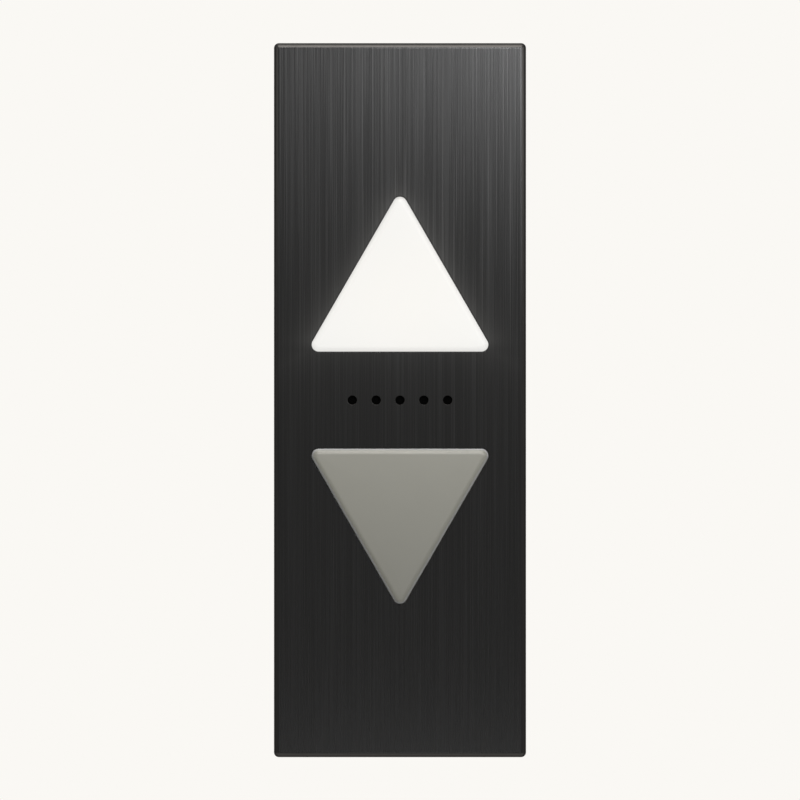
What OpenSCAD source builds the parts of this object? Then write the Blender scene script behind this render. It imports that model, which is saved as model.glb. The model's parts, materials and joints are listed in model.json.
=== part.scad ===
// Elevator hall lantern: a hinged sheet-metal cover with two lit arrows and a
// gong speaker, hung on a wall chassis that carries the control board.
// Millimetres. Shapes are drawn lying on their back, with y up the wall and
// z out from the wall, and stand() turns them upright: the wall is the plane
// y = 0, the front looks towards -y and z is up. The origin is the centre of
// the chassis on the wall.

/* [Cover] */
// Width of the cover
cover_w = 114.3; // [112:0.1:130]
// Height of the cover
cover_h = 323.85; // [318:0.05:360]
// Depth of the cover's front face from the wall
face_depth = 28; // [27:0.5:36]
// Thickness of the cover's sheet
cover_t = 1.5; // [1:0.1:2]
// Outside radius of the cover's corners and front edges
cover_r = 2.2; // [2.1:0.1:4]
// Gap between the cover's rear edge and the wall
wall_gap = 1; // [0.6:0.1:1.6]

/* [Arrow lenses] */
// Height of a lit arrow, base to tip
arrow_h = 70.2; // [64:0.1:72]
// Radius of an arrow's corners
arrow_r = 3.2; // [2.8:0.1:4]
// Distance from the lantern's middle to each arrow's base
arrow_gap = 22; // [21.6:0.1:26]
// How far a lens stands out of the cover's face
lens_proud = 2.6; // [1.6:0.1:4]
// Radius of a lens's front edge
lens_edge_r = 2.4; // [1:0.1:2.6]
// Wall of a lens
lens_wall = 2.5; // [1.5:0.1:2.7]
// Gap between a lens and the cover's cut-out
lens_gap = 0.25; // [0.15:0.05:0.5]
// Width of a lens's rim behind the cover
rim_w = 3; // [2:0.1:3.4]
// Thickness of a lens's rim
rim_t = 2; // [1.5:0.1:2.5]
// Thickness of the gasket between a rim and the cover
gasket_t = 0.5; // [0.3:0.1:1]

/* [Light boxes] */
// Wall of a light box
box_wall = 1.6; // [1.2:0.1:2]
// Depth of a light box behind its lens
box_depth = 12.5; // [11:0.5:13.5]
// Ledge that carries a lens's rim
ledge_t = 1.5; // [1:0.1:2.5]
// How much a light box narrows towards its back, on each side
box_draft = 2.6; // [1:0.1:3]
// Gap round a lens's rim in its light box
rim_gap = 0.2; // [0.1:0.05:0.4]
// Radius of a fixing ear
ear_r = 4; // [3.5:0.1:4.5]
// Thickness of a fixing ear
ear_t = 3; // [2:0.1:3.5]
// Gap between a fixing nut and the light box's wall
nut_gap = 0.2; // [0.1:0.05:0.5]
// Radius of a boss for a lamp board's screw
boss_r = 3; // [2.6:0.1:3.2]
// Distance from an arrow's corner centre to its screw boss
boss_reach = 4.6; // [4.4:0.1:5]

/* [Lamp boards] */
// Thickness of every circuit board
pcb_t = 1.6; // [1.2:0.1:2]
// Margin of a lamp board round the arrow's corner centres
lamp_margin = 3; // [2.4:0.1:3.4]
// Lamps along one edge of a lamp board
lamp_rows = 5; // [4:1:6]
// Distance between neighbouring lamps
lamp_pitch = 13.5; // [10:0.1:14]
// Side of a lamp's body
lamp_w = 3.5; // [2.8:0.1:4]
// Height of a lamp's body
lamp_t = 0.8; // [0.6:0.1:1.2]
// Radius of the shank of a self-tapping screw
tap_r = 1.1; // [0.9:0.1:1.3]

/* [Speaker] */
// Number of sound holes
sound_holes = 5; // [3:2:5]
// Radius of a sound hole
sound_r = 2.05; // [1.5:0.05:2.4]
// Distance between neighbouring sound holes
sound_pitch = 10.8; // [9:0.1:11.5]
// Thickness of the dust mesh behind the sound holes
mesh_t = 0.4; // [0.2:0.1:0.6]
// Radius of the speaker
speaker_r = 14; // [13.5:0.1:14.5]
// Gap round the speaker in its housing
speaker_gap = 0.15; // [0.05:0.05:0.3]
// Wall of the speaker housing round the speaker
housing_wall = 2; // [1.5:0.1:2.2]
// Front plate of the speaker housing
housing_t = 2.5; // [2:0.1:3]
// Distance from the middle to each fixing stud of the housing
housing_stud_x = 33; // [32:0.1:34]

/* [Hinge] */
// Height of the cover's top flange above the hinge pins
pivot_drop = 3; // [2.9:0.05:3.4]
// Distance of the hinge pins from the wall
pivot_depth = 4.5; // [4.4:0.1:5]
// Radius of a hinge pin
pin_r = 1.25; // [1:0.05:1.4]
// Running gap between a pin and its hinge tab
pin_gap = 0.05; // [0.02:0.01:0.1]
// Radius of the metal round a hinge pin
knuckle_r = 2.45; // [2.2:0.05:2.6]
// Thickness of a hinge tab
tab_t = 1.5; // [1.2:0.1:2]
// Side gap between a hinge tab and its neighbours
tab_gap = 0.3; // [0.2:0.05:0.5]
// Width of a hinge tab's welded foot
foot_w = 9; // [7:0.5:12]
// Depth of a hinge tab's welded foot
foot_depth = 10; // [8:0.5:14]

/* [Chassis] */
// Thickness of the chassis sheet
chassis_t = 1.5; // [1.2:0.1:1.6]
// Height of the chassis flanges off the wall
flange_h = 9; // [8.5:0.5:11]
// Side gap between the chassis and the cover
side_gap = 0.75; // [0.5:0.05:1.2]
// Gap between the chassis and the cover's bottom flange
bottom_gap = 1.5; // [1:0.1:3]
// Distance between the wall slots, side to side
slot_x = 88; // [80:1:90]
// Distance between the wall slots, top to bottom
slot_y = 200; // [180:1:206]
// Radius of a wall slot's ends
slot_r = 2.5; // [2:0.1:3]
// Length of a wall slot
slot_l = 10; // [8:0.5:12]
// Distance of the cable entry from the chassis's left edge
entry_inset = 22.9; // [21:0.1:24]
// Distance of the cable entry below the middle
entry_y = 78; // [76:0.5:80]
// Radius of the cable entry's knock-out hole
entry_r = 11.1; // [10:0.1:12]
// Radius of the grommet's bore
grommet_r = 8; // [6:0.1:8.5]
// Width of the grommet's lips round the hole
lip_w = 2.2; // [1.5:0.1:2.5]
// Thickness of a grommet lip
lip_t = 1.6; // [1.2:0.1:1.8]
// How far the sheet is dished inwards round the cable entry
dish_h = 2; // [1.9:0.1:3]

/* [Control board] */
// Gap between the control board and the magnet posts beside it
board_side_gap = 1.8; // [1:0.1:3]
// Gap between the control board and the chassis's bottom edge
board_low_gap = 5; // [3:0.5:7]
// Gap between the control board and the down arrow's lowest screw boss
board_high_gap = 11.3; // [8:0.1:14]
// Height of the standoffs that carry the control board
standoff_h = 6; // [5:0.5:8]
// Distance from the control board's edge to its fixing screws
board_inset = 4; // [3.6:0.1:4.4]
// Ways of the terminal block
terminal_ways = 6; // [4:1:6]
// Distance between neighbouring terminals
terminal_pitch = 5.08; // [5:0.01:5.2]
// Height of the terminal block
terminal_h = 10; // [9:0.5:12]
// Distance between the setting switches
lever_pitch = 2.54; // [2.5:0.01:2.7]
// Travel of a setting switch's lever
lever_travel = 1.5; // [1:0.1:1.8]
// Radius of the volume trimmer's rotor
rotor_r = 2.8; // [2.4:0.1:3.2]

/* [Catch] */
// Radius of a catch magnet
magnet_r = 4; // [3:0.1:4.5]
// Thickness of a catch magnet
magnet_t = 3; // [2:0.1:4]
// Radius of the posts that carry the catch magnets
post_r = 5.2; // [5:0.1:6]
// Side of the keeper plates on the cover
keeper_w = 14; // [12:0.5:15]
// Thickness of a keeper plate
keeper_t = 1.5; // [1:0.1:2]
// Gap between a magnet and its keeper plate
catch_gap = 0.3; // [0.2:0.1:0.6]

/* [Hidden] */
$fn = 48;

// Overshoot of a cut past the face it opens
past = 1;
half_w = cover_w / 2;
half_h = cover_h / 2;
inner_w = half_w - cover_t;
inner_h = half_h - cover_t;
face_in = face_depth - cover_t;

// Arrow: its corner centres form a triangle, and every outline is a margin round it
corner_turns = [90, 210, 330];
arrow_in = (arrow_h - 2 * arrow_r) / 3;
arrow_y = arrow_gap + arrow_r + arrow_in;
arc_steps = 12;
rim_m = arrow_r + rim_w;
hole_m = arrow_r + lens_gap;
seat_z = face_in - gasket_t - rim_t;
lens_top = face_depth + lens_proud;
box_back = seat_z - box_depth;
box_front_m = arrow_r + 0.6;
lip_m = rim_m + rim_gap;
lamp_z = box_back - pcb_t;

// Studs, nuts and screws
stud_r = 1.5;
stud_l = 6.5;
stud_gap = 0.2;
nut_r = 3.1;
nut_t = 2.4;
ear_reach = lip_m + box_wall + nut_r + nut_gap;
pilot_l = 8;
tap_head_r = 2.3;
tap_head_t = 1.6;
board_screw_r = 1.5;
board_screw_head_r = 2.7;
board_screw_head_t = 1.8;

// Hinge
pivot_y = inner_h - pivot_drop;
chassis_x = inner_w - side_gap;
ear_in_x = chassis_x - chassis_t;
tab_x = ear_in_x - tab_gap;
clip_x = tab_x - tab_t - tab_gap;
clip_t = 0.5;
clip_r = 2.75;
pin_end = 0.4;
foot_t = 1.2;
foot_z = pivot_depth + clip_r + 0.3;

// Chassis
plate_top = pivot_y - 0.5;
plate_bottom = bottom_gap - inner_h;
flange_end = 5;
dish_gap = 2;
entry_x = chassis_x - entry_inset;

// Catch and earth stud
catch_inset = 7.4;
catch_up = 8.9;
catch_x = ear_in_x - catch_inset;
catch_y = plate_bottom + catch_up;
keeper_z = face_in - keeper_t;
magnet_top = keeper_z - catch_gap;
pocket_t = 1;
earth_inset = 18.9;
earth_x = chassis_x - earth_inset;
earth_y = -84;
earth_r = 2;
earth_l = 11;
earth_nut_r = 4;
earth_nut_t = 3.2;

// Control board: a row along its top edge, one along its foot and one between them
board_bottom = plate_bottom + board_low_gap;
board_top = -arrow_y - 2 * arrow_in - boss_reach - boss_r - board_high_gap;
board_w = 2 * (catch_x - post_r - board_side_gap);
board_h = board_top - board_bottom;
board_y = (board_top + board_bottom) / 2;
board_z = chassis_t + standoff_h;
parts_z = board_z + pcb_t;
board_hole_x = board_w / 2 - board_inset;
board_hole_y = board_h / 2 - board_inset;
end_space = 5;
row_end = board_hole_x - end_space;
part_gap = 1.2;
terminal_d = 9;
terminal_w = terminal_ways * terminal_pitch;
terminal_x = terminal_w / 2 - row_end;
terminal_y = board_top - terminal_d / 2;
terminal_back = 0.6;
terminal_well = 3;
terminal_screw_r = 1.7;
socket_w = 7.5;
socket_d = 5.8;
socket_t = 7;
foot_row = 6.5;
low_y = board_bottom + foot_row;
trimmer_w = 9.5;
mid_y = (low_y + trimmer_w / 2 + board_top - terminal_d) / 2;
chip_up = 0.2;
leg_l = 1.2;
leg_root = 0.2;
leg_t = 0.4;
controller_w = 7;
resistor_pitch = 3;
resistor_w = 1.6;
resistor_l = 3.2;
resistor_t = 0.6;
lever_rows = 4;
switch_w = lever_rows * lever_pitch + 1.6;
switch_x = switch_w / 2 - row_end;
switch_d = 7;
switch_t = 3;
slot_w = 1.3;
slot_depth = 1.4;
lever_w = 1;
lever_d = 1.2;
lever_up = 1;
lever_sink = 1.3;
lever_gap = 0.1;
trimmer_x = switch_x + switch_w / 2 + part_gap + trimmer_w / 2;
trimmer_t = 4.5;
rotor_gap = 0.08;
rotor_up = 0.6;
rotor_sink = 2;

// Speaker, drawn from its front rim towards the wall
speaker_z = face_in - housing_t;
sound_x = (sound_holes - 1) / 2 * sound_pitch;
sound_path = [[-sound_x, 0], [sound_x, 0]];
housing_r = speaker_r + speaker_gap + housing_wall;
housing_reach = 12.5;
housing_path = [[-housing_reach, 0], [housing_reach, 0]];
mouth_r = speaker_r - 1.5;
rim_in_r = speaker_r - 1.8;
roll_in_r = rim_in_r - 1;
basket_taper = 4.8;
floor_r = speaker_r - basket_taper;
floor_rim = 1.2;
motor_r = floor_r - floor_rim;
floor_z = -7;
frame_t = 0.8;
coil_t = 0.35;
coil_gap = 0.2;
cone_span = 9.85;
coil_r = speaker_r - cone_span;
pole_r = coil_r - coil_t - coil_gap;
gap_r = coil_r + 0.25;
plate_t = 1;
ring_t = 3;
yoke_t = 1.2;
neck_z = -4.2;
edge_z = -0.4;
skin_t = 0.4;
cap_r = coil_r + 0.85;
cap_ball_r = 6.2;

metal_black = "#2b2b2b";
zinc = "#b9bcc0";
white_plastic = "#eceae4";
board_green = "#2f6b4a";
chip_black = "#202224";

// Turns a shape that lies on its back upright
module stand() {
    rotate([90, 0, 0]) children();
}

// Left and right copies
module both_sides() {
    children();
    mirror([1, 0, 0]) children();
}

// Moves a shape drawn round an arrow's middle to the arrow that points up or down
module at_arrow(up) {
    translate([0, up ? arrow_y : -arrow_y, 0]) rotate(up ? 0 : 180) children();
}

function unit(v) = v / norm(v);
function right_of(v) = [v.y, -v.x];

// Flat outline at a margin round a closed path of corner centres
module outline(path, margin) {
    n = len(path);
    polygon([
        for (i = [0 : n - 1])
            let (side = margin * unit(right_of(path[(i + 1) % n] - path[i])))
            each [path[i] + side, path[(i + 1) % n] + side]
    ]);
    for (p = path) translate(p) circle(margin);
}

// Upright wall-sided block between two heights
module block(path, margin, z0, z1) {
    translate([0, 0, z0]) linear_extrude(z1 - z0) outline(path, margin);
}

// Block whose upper edges and corners are rounded with a ball
module round_box(path, ball_r, z0, z1) {
    n = len(path);
    block(path, ball_r, z0, z1 - ball_r);
    translate([0, 0, z0]) linear_extrude(z1 - z0) polygon(path);
    for (i = [0 : n - 1]) {
        heading = path[(i + 1) % n] - path[i];
        translate([path[i].x, path[i].y, z1 - ball_r]) {
            sphere(ball_r);
            rotate([0, 90, atan2(heading.y, heading.x)]) cylinder(r = ball_r, h = norm(heading));
        }
    }
}

// Outline of an arrow at a margin round its corner centres, with round corners
function arrow_outline(margin) = [
    for (a = corner_turns, i = [0 : arc_steps])
        let (b = a + 120 * (i / arc_steps - 0.5))
        2 * arrow_in * [cos(a), sin(a)] + margin * [cos(b), sin(b)]
];

module arrow_block(margin, z0, z1) {
    translate([0, 0, z0]) linear_extrude(z1 - z0) polygon(arrow_outline(margin));
}

function box_path(half_x, half_y) =
    [[-half_x, -half_y], [half_x, -half_y], [half_x, half_y], [-half_x, half_y]];

// Flat plate in the y-z plane, drawn as [depth, height] from the wall
module side_plate(x, t) {
    translate([x, 0, 0]) rotate([90, 0, 90]) mirror([1, 0, 0]) rotate(90) linear_extrude(t) children();
}

// Ring round the z axis
module ring(r_out, r_in, z0, z1) {
    translate([0, 0, z0]) difference() {
        cylinder(r = r_out, h = z1 - z0);
        translate([0, 0, -past]) cylinder(r = r_in, h = z1 - z0 + 2 * past);
    }
}

// Box by its middle on the board, its size and its foot height
module chip(x, y, w, h, z0, t) {
    translate([x - w / 2, y - h / 2, z0]) cube([w, h, t]);
}

// Positions of the studs that hold a light box, round an arrow's middle
module at_corners(reach) {
    for (a = corner_turns) rotate(a) translate([2 * arrow_in + reach, 0, 0]) children();
}

module at_board_holes() {
    for (x = [-1, 1], y = [-1, 1])
        translate([x * board_hole_x, board_y + y * board_hole_y, 0]) children();
}

module wall_slot() {
    reach = slot_l / 2 - slot_r;
    block([[-reach, 0], [reach, 0]], slot_r, -past, chassis_t + past);
}

// Flat sheet on the wall, dished round the cable entry
module back_plate() {
    color(zinc) stand() difference() {
        union() {
            translate([-chassis_x, plate_bottom, 0])
                cube([2 * chassis_x, plate_top - plate_bottom, chassis_t]);
            translate([-entry_x, -entry_y, 0])
                cylinder(r = entry_r + lip_w + dish_gap + chassis_t, h = chassis_t + dish_h);
        }
        for (x = [-1, 1], y = [-1, 1])
            translate([x * slot_x / 2, y * slot_y / 2, 0]) wall_slot();
        translate([-entry_x, -entry_y, -past]) {
            cylinder(r = entry_r + lip_w + dish_gap, h = dish_h + past);
            cylinder(r = entry_r, h = chassis_t + dish_h + 2 * past);
        }
    }
}

// Flanges welded along the sheet's edges, with hinge ears at the top of the side ones
module chassis_flanges() {
    color(zinc) stand() {
        translate([flange_end - ear_in_x, plate_bottom, chassis_t])
            cube([2 * (ear_in_x - flange_end), chassis_t, flange_h - chassis_t]);
        both_sides() difference() {
            union() {
                translate([ear_in_x, plate_bottom + flange_end, chassis_t])
                    cube([chassis_t, plate_top - plate_bottom - 2 * flange_end, flange_h - chassis_t]);
                side_plate(ear_in_x, chassis_t) {
                    translate([pivot_depth - knuckle_r, plate_top - 2 * flange_end])
                        square([2 * knuckle_r, pivot_y - plate_top + 2 * flange_end]);
                    translate([pivot_depth, pivot_y]) circle(knuckle_r);
                }
            }
            translate([ear_in_x - past, pivot_y, pivot_depth])
                rotate([0, 90, 0]) cylinder(r = pin_r, h = chassis_t + 2 * past);
        }
    }
}

// Rubber grommet that grips the dished sheet from both sides
module cable_grommet() {
    color("#1d1d1d") stand() translate([-entry_x, -entry_y, 0]) difference() {
        union() {
            translate([0, 0, dish_h - lip_t]) cylinder(r = entry_r + lip_w, h = lip_t);
            translate([0, 0, dish_h - past]) cylinder(r = entry_r, h = chassis_t + 2 * past);
            translate([0, 0, dish_h + chassis_t]) cylinder(r = entry_r + lip_w, h = lip_t);
        }
        translate([0, 0, -past]) cylinder(r = grommet_r, h = dish_h + chassis_t + lip_t + 2 * past);
    }
}

// Pins riveted in the chassis ears, which reach inwards through the hinge tabs
module hinge_pins() {
    color(zinc) stand() both_sides() translate([clip_x - clip_t - pin_end, pivot_y, pivot_depth])
        rotate([0, 90, 0]) cylinder(r = pin_r, h = chassis_x - clip_x + clip_t + pin_end);
}

// Retaining clips that keep the hinge tabs on their pins
module hinge_clips() {
    color("#8a8d90") stand() both_sides() translate([clip_x - clip_t, pivot_y, pivot_depth])
        rotate([0, 90, 0]) difference() {
            ring(clip_r, pin_r, 0, clip_t);
            translate([-clip_r - past, -pin_r / 2, -past]) cube([clip_r, pin_r, clip_t + 2 * past]);
        }
}

module board_standoffs() {
    color("#c9b27a") stand() at_board_holes() translate([0, 0, chassis_t]) difference() {
        cylinder(r = 3, h = standoff_h, $fn = 6);
        translate([0, 0, standoff_h / 3]) cylinder(r = board_screw_r, h = standoff_h);
    }
}

module control_board() {
    color(board_green) stand() difference() {
        chip(0, board_y, board_w, board_h, board_z, pcb_t);
        at_board_holes() translate([0, 0, board_z - past])
            cylinder(r = board_screw_r + stud_gap, h = pcb_t + 2 * past);
    }
}

// Cross-recessed pan heads with shanks down into the standoffs
module board_screws() {
    color(zinc) stand() at_board_holes() translate([0, 0, parts_z]) difference() {
        union() {
            cylinder(r = board_screw_head_r, h = board_screw_head_t);
            translate([0, 0, -pcb_t - standoff_h / 2])
                cylinder(r = board_screw_r, h = pcb_t + standoff_h / 2 + past / 2);
        }
        translate([0, 0, board_screw_head_t]) for (a = [0, 90]) rotate(a)
            cube([3, 0.6, 1.6], center = true);
    }
}

module at_terminals() {
    for (i = [0 : terminal_ways - 1])
        translate([terminal_x + (i - (terminal_ways - 1) / 2) * terminal_pitch, terminal_y, parts_z])
            children();
}

// Rising-clamp terminal block, with wire mouths towards the cable entry
module terminal_block() {
    mouth_w = 3.4;
    mouth_up = 1.5;
    color("#3f7d53") stand() difference() {
        chip(terminal_x, terminal_y, terminal_w, terminal_d, parts_z, terminal_h);
        at_terminals() {
            translate([0, -terminal_back, terminal_h - terminal_well])
                cylinder(r = terminal_screw_r + stud_gap, h = terminal_well + past);
            translate([-mouth_w / 2, 0, mouth_up]) cube([mouth_w, terminal_d, mouth_w]);
        }
        translate([terminal_x - terminal_w, terminal_y + terminal_d / 2, parts_z])
            rotate([45, 0, 0]) translate([0, 0, terminal_h / sqrt(2) - 0.6])
            cube([2 * terminal_w, terminal_d, terminal_well]);
    }
}

module terminal_screws() {
    head_t = 1.8;
    slot_cut = 0.6;
    color(zinc) stand() at_terminals() translate([0, -terminal_back, terminal_h - terminal_well])
        difference() {
            cylinder(r = terminal_screw_r, h = head_t);
            translate([-terminal_screw_r - past, -slot_cut / 2, head_t - slot_cut])
                cube([2 * (terminal_screw_r + past), slot_cut, slot_cut + past]);
        }
}

// Legs along one side of a chip, whose body ends at the edge
module leg_row(count, pitch, w, edge) {
    for (i = [0 : count - 1])
        chip((i - (count - 1) / 2) * pitch, edge + leg_l / 2 - leg_root, w, leg_l, 0, leg_t);
}

// Square chip with gull-wing legs on all four sides
module controller_chip() {
    legs = 8;
    leg_pitch = 0.8;
    leg_w = 0.35;
    color(chip_black) stand() translate([0, mid_y, parts_z]) {
        chip(0, 0, controller_w, controller_w, chip_up, 1.4);
        for (a = [0 : 90 : 270]) rotate(a) leg_row(legs, leg_pitch, leg_w, controller_w / 2);
    }
}

// Power amplifier for the gong, with legs on two sides
module amplifier_chip() {
    w = 9;
    h = 5;
    legs = 6;
    leg_pitch = 1.27;
    leg_w = 0.5;
    color(chip_black) stand()
        translate([controller_w / 2 + leg_l + part_gap + w / 2, mid_y, parts_z]) {
            chip(0, 0, w, h, chip_up, 1.5);
            for (side = [0, 180]) rotate(side) leg_row(legs, leg_pitch, leg_w, h / 2);
        }
}

// Can capacitors on their square bases
module capacitors() {
    can_r = 3.15;
    can_h = 9;
    base_w = 6.6;
    base_t = 1;
    crimp = 0.5;
    color("#9aa0a6") stand() for (i = [0, 1])
        translate([row_end - socket_w - part_gap - base_w / 2 - i * (base_w + part_gap), low_y, parts_z]) {
            chip(0, 0, base_w, base_w, 0, base_t);
            cylinder(r = can_r, h = can_h - crimp);
            cylinder(r = can_r - crimp, h = can_h);
        }
}

module chip_resistors() {
    first = resistor_w / 2 - row_end;
    left = [for (i = [0 : 5]) first + i * resistor_pitch];
    right = [for (i = [0 : 2]) -first - i * resistor_pitch];
    color("#3a3a3d") stand() for (x = concat(left, right))
        chip(x, mid_y, resistor_w, resistor_l, parts_z, resistor_t);
}

// Open-topped header for a two-wire plug
module lead_socket(w, h, t) {
    wall = 0.8;
    floor_t = 1.2;
    pin_w = 0.64;
    difference() {
        chip(0, 0, w, h, 0, t);
        chip(0, 0, w - 2 * wall, h - 2 * wall, floor_t, t);
        chip(0, -h / 2, 2.5 * wall, 2.5 * wall, floor_t, t);
    }
    for (x = [-1.25, 1.25]) chip(x, 0, pin_w, pin_w, floor_t / 2, t - floor_t);
}

// Two for the lamp boards in the top row, one for the speaker at the foot
module lead_sockets() {
    color(white_plastic) stand() {
        for (i = [0, 1])
            translate([row_end - socket_w / 2 - i * (socket_w + 2), board_top - socket_d / 2 - 3.1, parts_z])
                lead_socket(socket_w, socket_d, socket_t);
        translate([row_end - socket_w / 2, low_y, parts_z]) lead_socket(socket_w, socket_d, socket_t);
    }
}

function lever_x(i) = switch_x + (i - (lever_rows + 1) / 2) * lever_pitch;

// Setting switches for the arrow's direction and the gong's tone
module dip_switch() {
    color("#b3372f") stand() difference() {
        chip(switch_x, low_y, switch_w, switch_d, parts_z, switch_t);
        for (i = [1 : lever_rows])
            chip(lever_x(i), low_y, slot_w, lever_d + lever_travel + 2 * lever_gap,
                parts_z + switch_t - slot_depth, slot_depth + past);
    }
}

// A lever stands at the low end of its slot, which is off
module dip_lever(i) {
    color("#f2f0ea") stand()
        chip(lever_x(i), low_y - lever_travel / 2, lever_w, lever_d,
            parts_z + switch_t - lever_sink, lever_sink + lever_up);
}

module dip_lever_1() { dip_lever(1); }
module dip_lever_2() { dip_lever(2); }
module dip_lever_3() { dip_lever(3); }
module dip_lever_4() { dip_lever(4); }

module volume_trimmer() {
    color("#2f5fa8") stand() translate([trimmer_x, low_y, parts_z]) difference() {
        chip(0, 0, trimmer_w, trimmer_w, 0, trimmer_t);
        translate([0, 0, trimmer_t - rotor_sink]) cylinder(r = rotor_r + rotor_gap, h = rotor_sink + past);
    }
}

// Slotted rotor in the trimmer's round well
module trimmer_rotor() {
    color("#ececec") stand() translate([trimmer_x, low_y, parts_z + trimmer_t - rotor_sink + rotor_gap])
        difference() {
            cylinder(r = rotor_r, h = rotor_sink + rotor_up);
            translate([-rotor_r - past, -0.4, rotor_sink + rotor_up - 1])
                cube([2 * (rotor_r + past), 0.8, 1 + past]);
        }
}

// Posts riveted to the sheet, with a pocket for a magnet at the front
module magnet_posts() {
    color("#26282a") stand() both_sides() translate([catch_x, catch_y, 0]) difference() {
        translate([0, 0, chassis_t]) cylinder(r = post_r, h = magnet_top - magnet_t + pocket_t - chassis_t);
        translate([0, 0, magnet_top - magnet_t]) cylinder(r = magnet_r, h = magnet_t);
    }
}

module catch_magnets() {
    color("#cfd3d6") stand() both_sides() translate([catch_x, catch_y, magnet_top - magnet_t])
        cylinder(r = magnet_r, h = magnet_t);
}

module earth_stud() {
    color("#c6a24a") stand() translate([earth_x, earth_y, chassis_t]) {
        cylinder(r = earth_r, h = earth_l);
        cylinder(r = earth_nut_r, h = 0.8);
    }
}

module earth_nut() {
    color("#c6a24a") stand() translate([earth_x, earth_y, chassis_t + 0.8]) difference() {
        cylinder(r = earth_nut_r, h = earth_nut_t, $fn = 6);
        translate([0, 0, -past]) cylinder(r = earth_r, h = earth_nut_t + 2 * past);
    }
}

// Folded sheet cover with soft edges, cut for the arrows and the sound holes.
// Its top rear edge slopes so that it clears the wall as the cover swings up.
module cover() {
    path = box_path(half_w - cover_r, half_h - cover_r);
    in_r = cover_r - cover_t;
    slope = half_h - pivot_y + past;
    color(metal_black) stand() difference() {
        round_box(path, cover_r, wall_gap, face_depth);
        round_box(path, in_r, wall_gap - past, face_in);
        for (up = [true, false]) at_arrow(up) arrow_block(hole_m, face_in - past, face_depth + past);
        for (i = [0 : sound_holes - 1]) translate([i * sound_pitch - sound_x, 0, face_in - past])
            cylinder(r = sound_r, h = cover_t + 2 * past);
        side_plate(-half_w - past, cover_w + 2 * past)
            polygon([
                [wall_gap, pivot_y], [wall_gap + slope, pivot_y + slope],
                [wall_gap - past, pivot_y + slope], [wall_gap - past, pivot_y]
            ]);
    }
}

// Bent tabs welded under the cover's top flange, each with a running bore
module hinge_tabs() {
    color(zinc) stand() both_sides() difference() {
        union() {
            translate([tab_x - foot_w, inner_h - foot_t, foot_z]) cube([foot_w, foot_t, foot_depth]);
            side_plate(tab_x - tab_t, tab_t) {
                translate([pivot_depth, pivot_y]) circle(knuckle_r);
                translate([pivot_depth, pivot_y - knuckle_r / 2])
                    square([foot_z + foot_depth - pivot_depth, inner_h - pivot_y + knuckle_r / 2]);
            }
        }
        translate([tab_x - tab_t - past, pivot_y, pivot_depth])
            rotate([0, 90, 0]) cylinder(r = pin_r + pin_gap, h = tab_t + 2 * past);
    }
}

// Steel plates that the catch magnets pull on
module keeper_plates() {
    color(zinc) stand() both_sides() translate([catch_x, catch_y, keeper_z])
        chip(0, 0, keeper_w, keeper_w, 0, keeper_t);
}

module at_cover_studs() {
    for (up = [true, false]) at_arrow(up) at_corners(ear_reach) children();
    both_sides() translate([housing_stud_x, 0, 0]) children();
}

module cover_studs() {
    color("#c9ccd0") stand() at_cover_studs() translate([0, 0, face_in - stud_l])
        cylinder(r = stud_r, h = stud_l);
}

module stud_nut(seat) {
    translate([0, 0, seat - nut_t]) difference() {
        cylinder(r = nut_r, h = nut_t, $fn = 6);
        translate([0, 0, -past]) cylinder(r = stud_r, h = nut_t + 2 * past);
    }
}

module stud_nuts() {
    color(zinc) stand() {
        for (up = [true, false]) at_arrow(up) at_corners(ear_reach) stud_nut(face_in - ear_t);
        both_sides() translate([housing_stud_x, 0, 0]) stud_nut(speaker_z);
    }
}

// Cup-shaped arrow lens with a soft front edge and a rim behind the cover
module lens(tint) {
    steps = 6;
    color(tint) difference() {
        union() {
            hull() at_corners(0) for (i = [0 : steps])
                let (a = 90 * i / steps)
                translate([0, 0, seat_z + rim_t / 2])
                cylinder(r = arrow_r - lens_edge_r * (1 - cos(a)),
                    h = lens_top - seat_z - rim_t / 2 - lens_edge_r * (1 - sin(a)), $fn = 3 * arc_steps);
            arrow_block(rim_m, seat_z, seat_z + rim_t);
        }
        arrow_block(arrow_r - lens_wall, seat_z - past, lens_top - lens_wall);
    }
}

// Foam gasket that keeps light in behind the cover
module gasket() {
    color("#1b1b1b") difference() {
        arrow_block(rim_m, face_in - gasket_t, face_in);
        arrow_block(hole_m, face_in - gasket_t - past, face_in + past);
    }
}

// Moulded funnel that mixes the lamps' light: a drafted wall, a ledge for the
// lens's rim, three fixing ears at the front and three screw bosses at the back
module light_box() {
    color(white_plastic) difference() {
        union() {
            arrow_block(lip_m + box_wall, seat_z - ledge_t, face_in);
            hull() {
                arrow_block(box_front_m + box_wall, seat_z - 2 * ledge_t, seat_z - ledge_t / 2);
                arrow_block(box_front_m + box_wall - box_draft, box_back, box_back + ledge_t);
            }
            at_corners(boss_reach) translate([0, 0, box_back])
                cylinder(r = boss_r, h = box_depth - ledge_t / 2);
            for (a = corner_turns) rotate(a)
                block([[2 * arrow_in, 0], [2 * arrow_in + ear_reach, 0]], ear_r, face_in - ear_t, face_in);
        }
        arrow_block(lip_m, seat_z, face_in + past);
        hull() {
            arrow_block(box_front_m, seat_z, seat_z + past);
            arrow_block(box_front_m - box_draft, box_back - past, box_back);
        }
        at_corners(ear_reach) translate([0, 0, face_in - ear_t - past])
            cylinder(r = stud_r + stud_gap, h = ear_t + 2 * past);
        at_corners(boss_reach) translate([0, 0, box_back - past]) cylinder(r = tap_r, h = pilot_l + past);
    }
}

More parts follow.
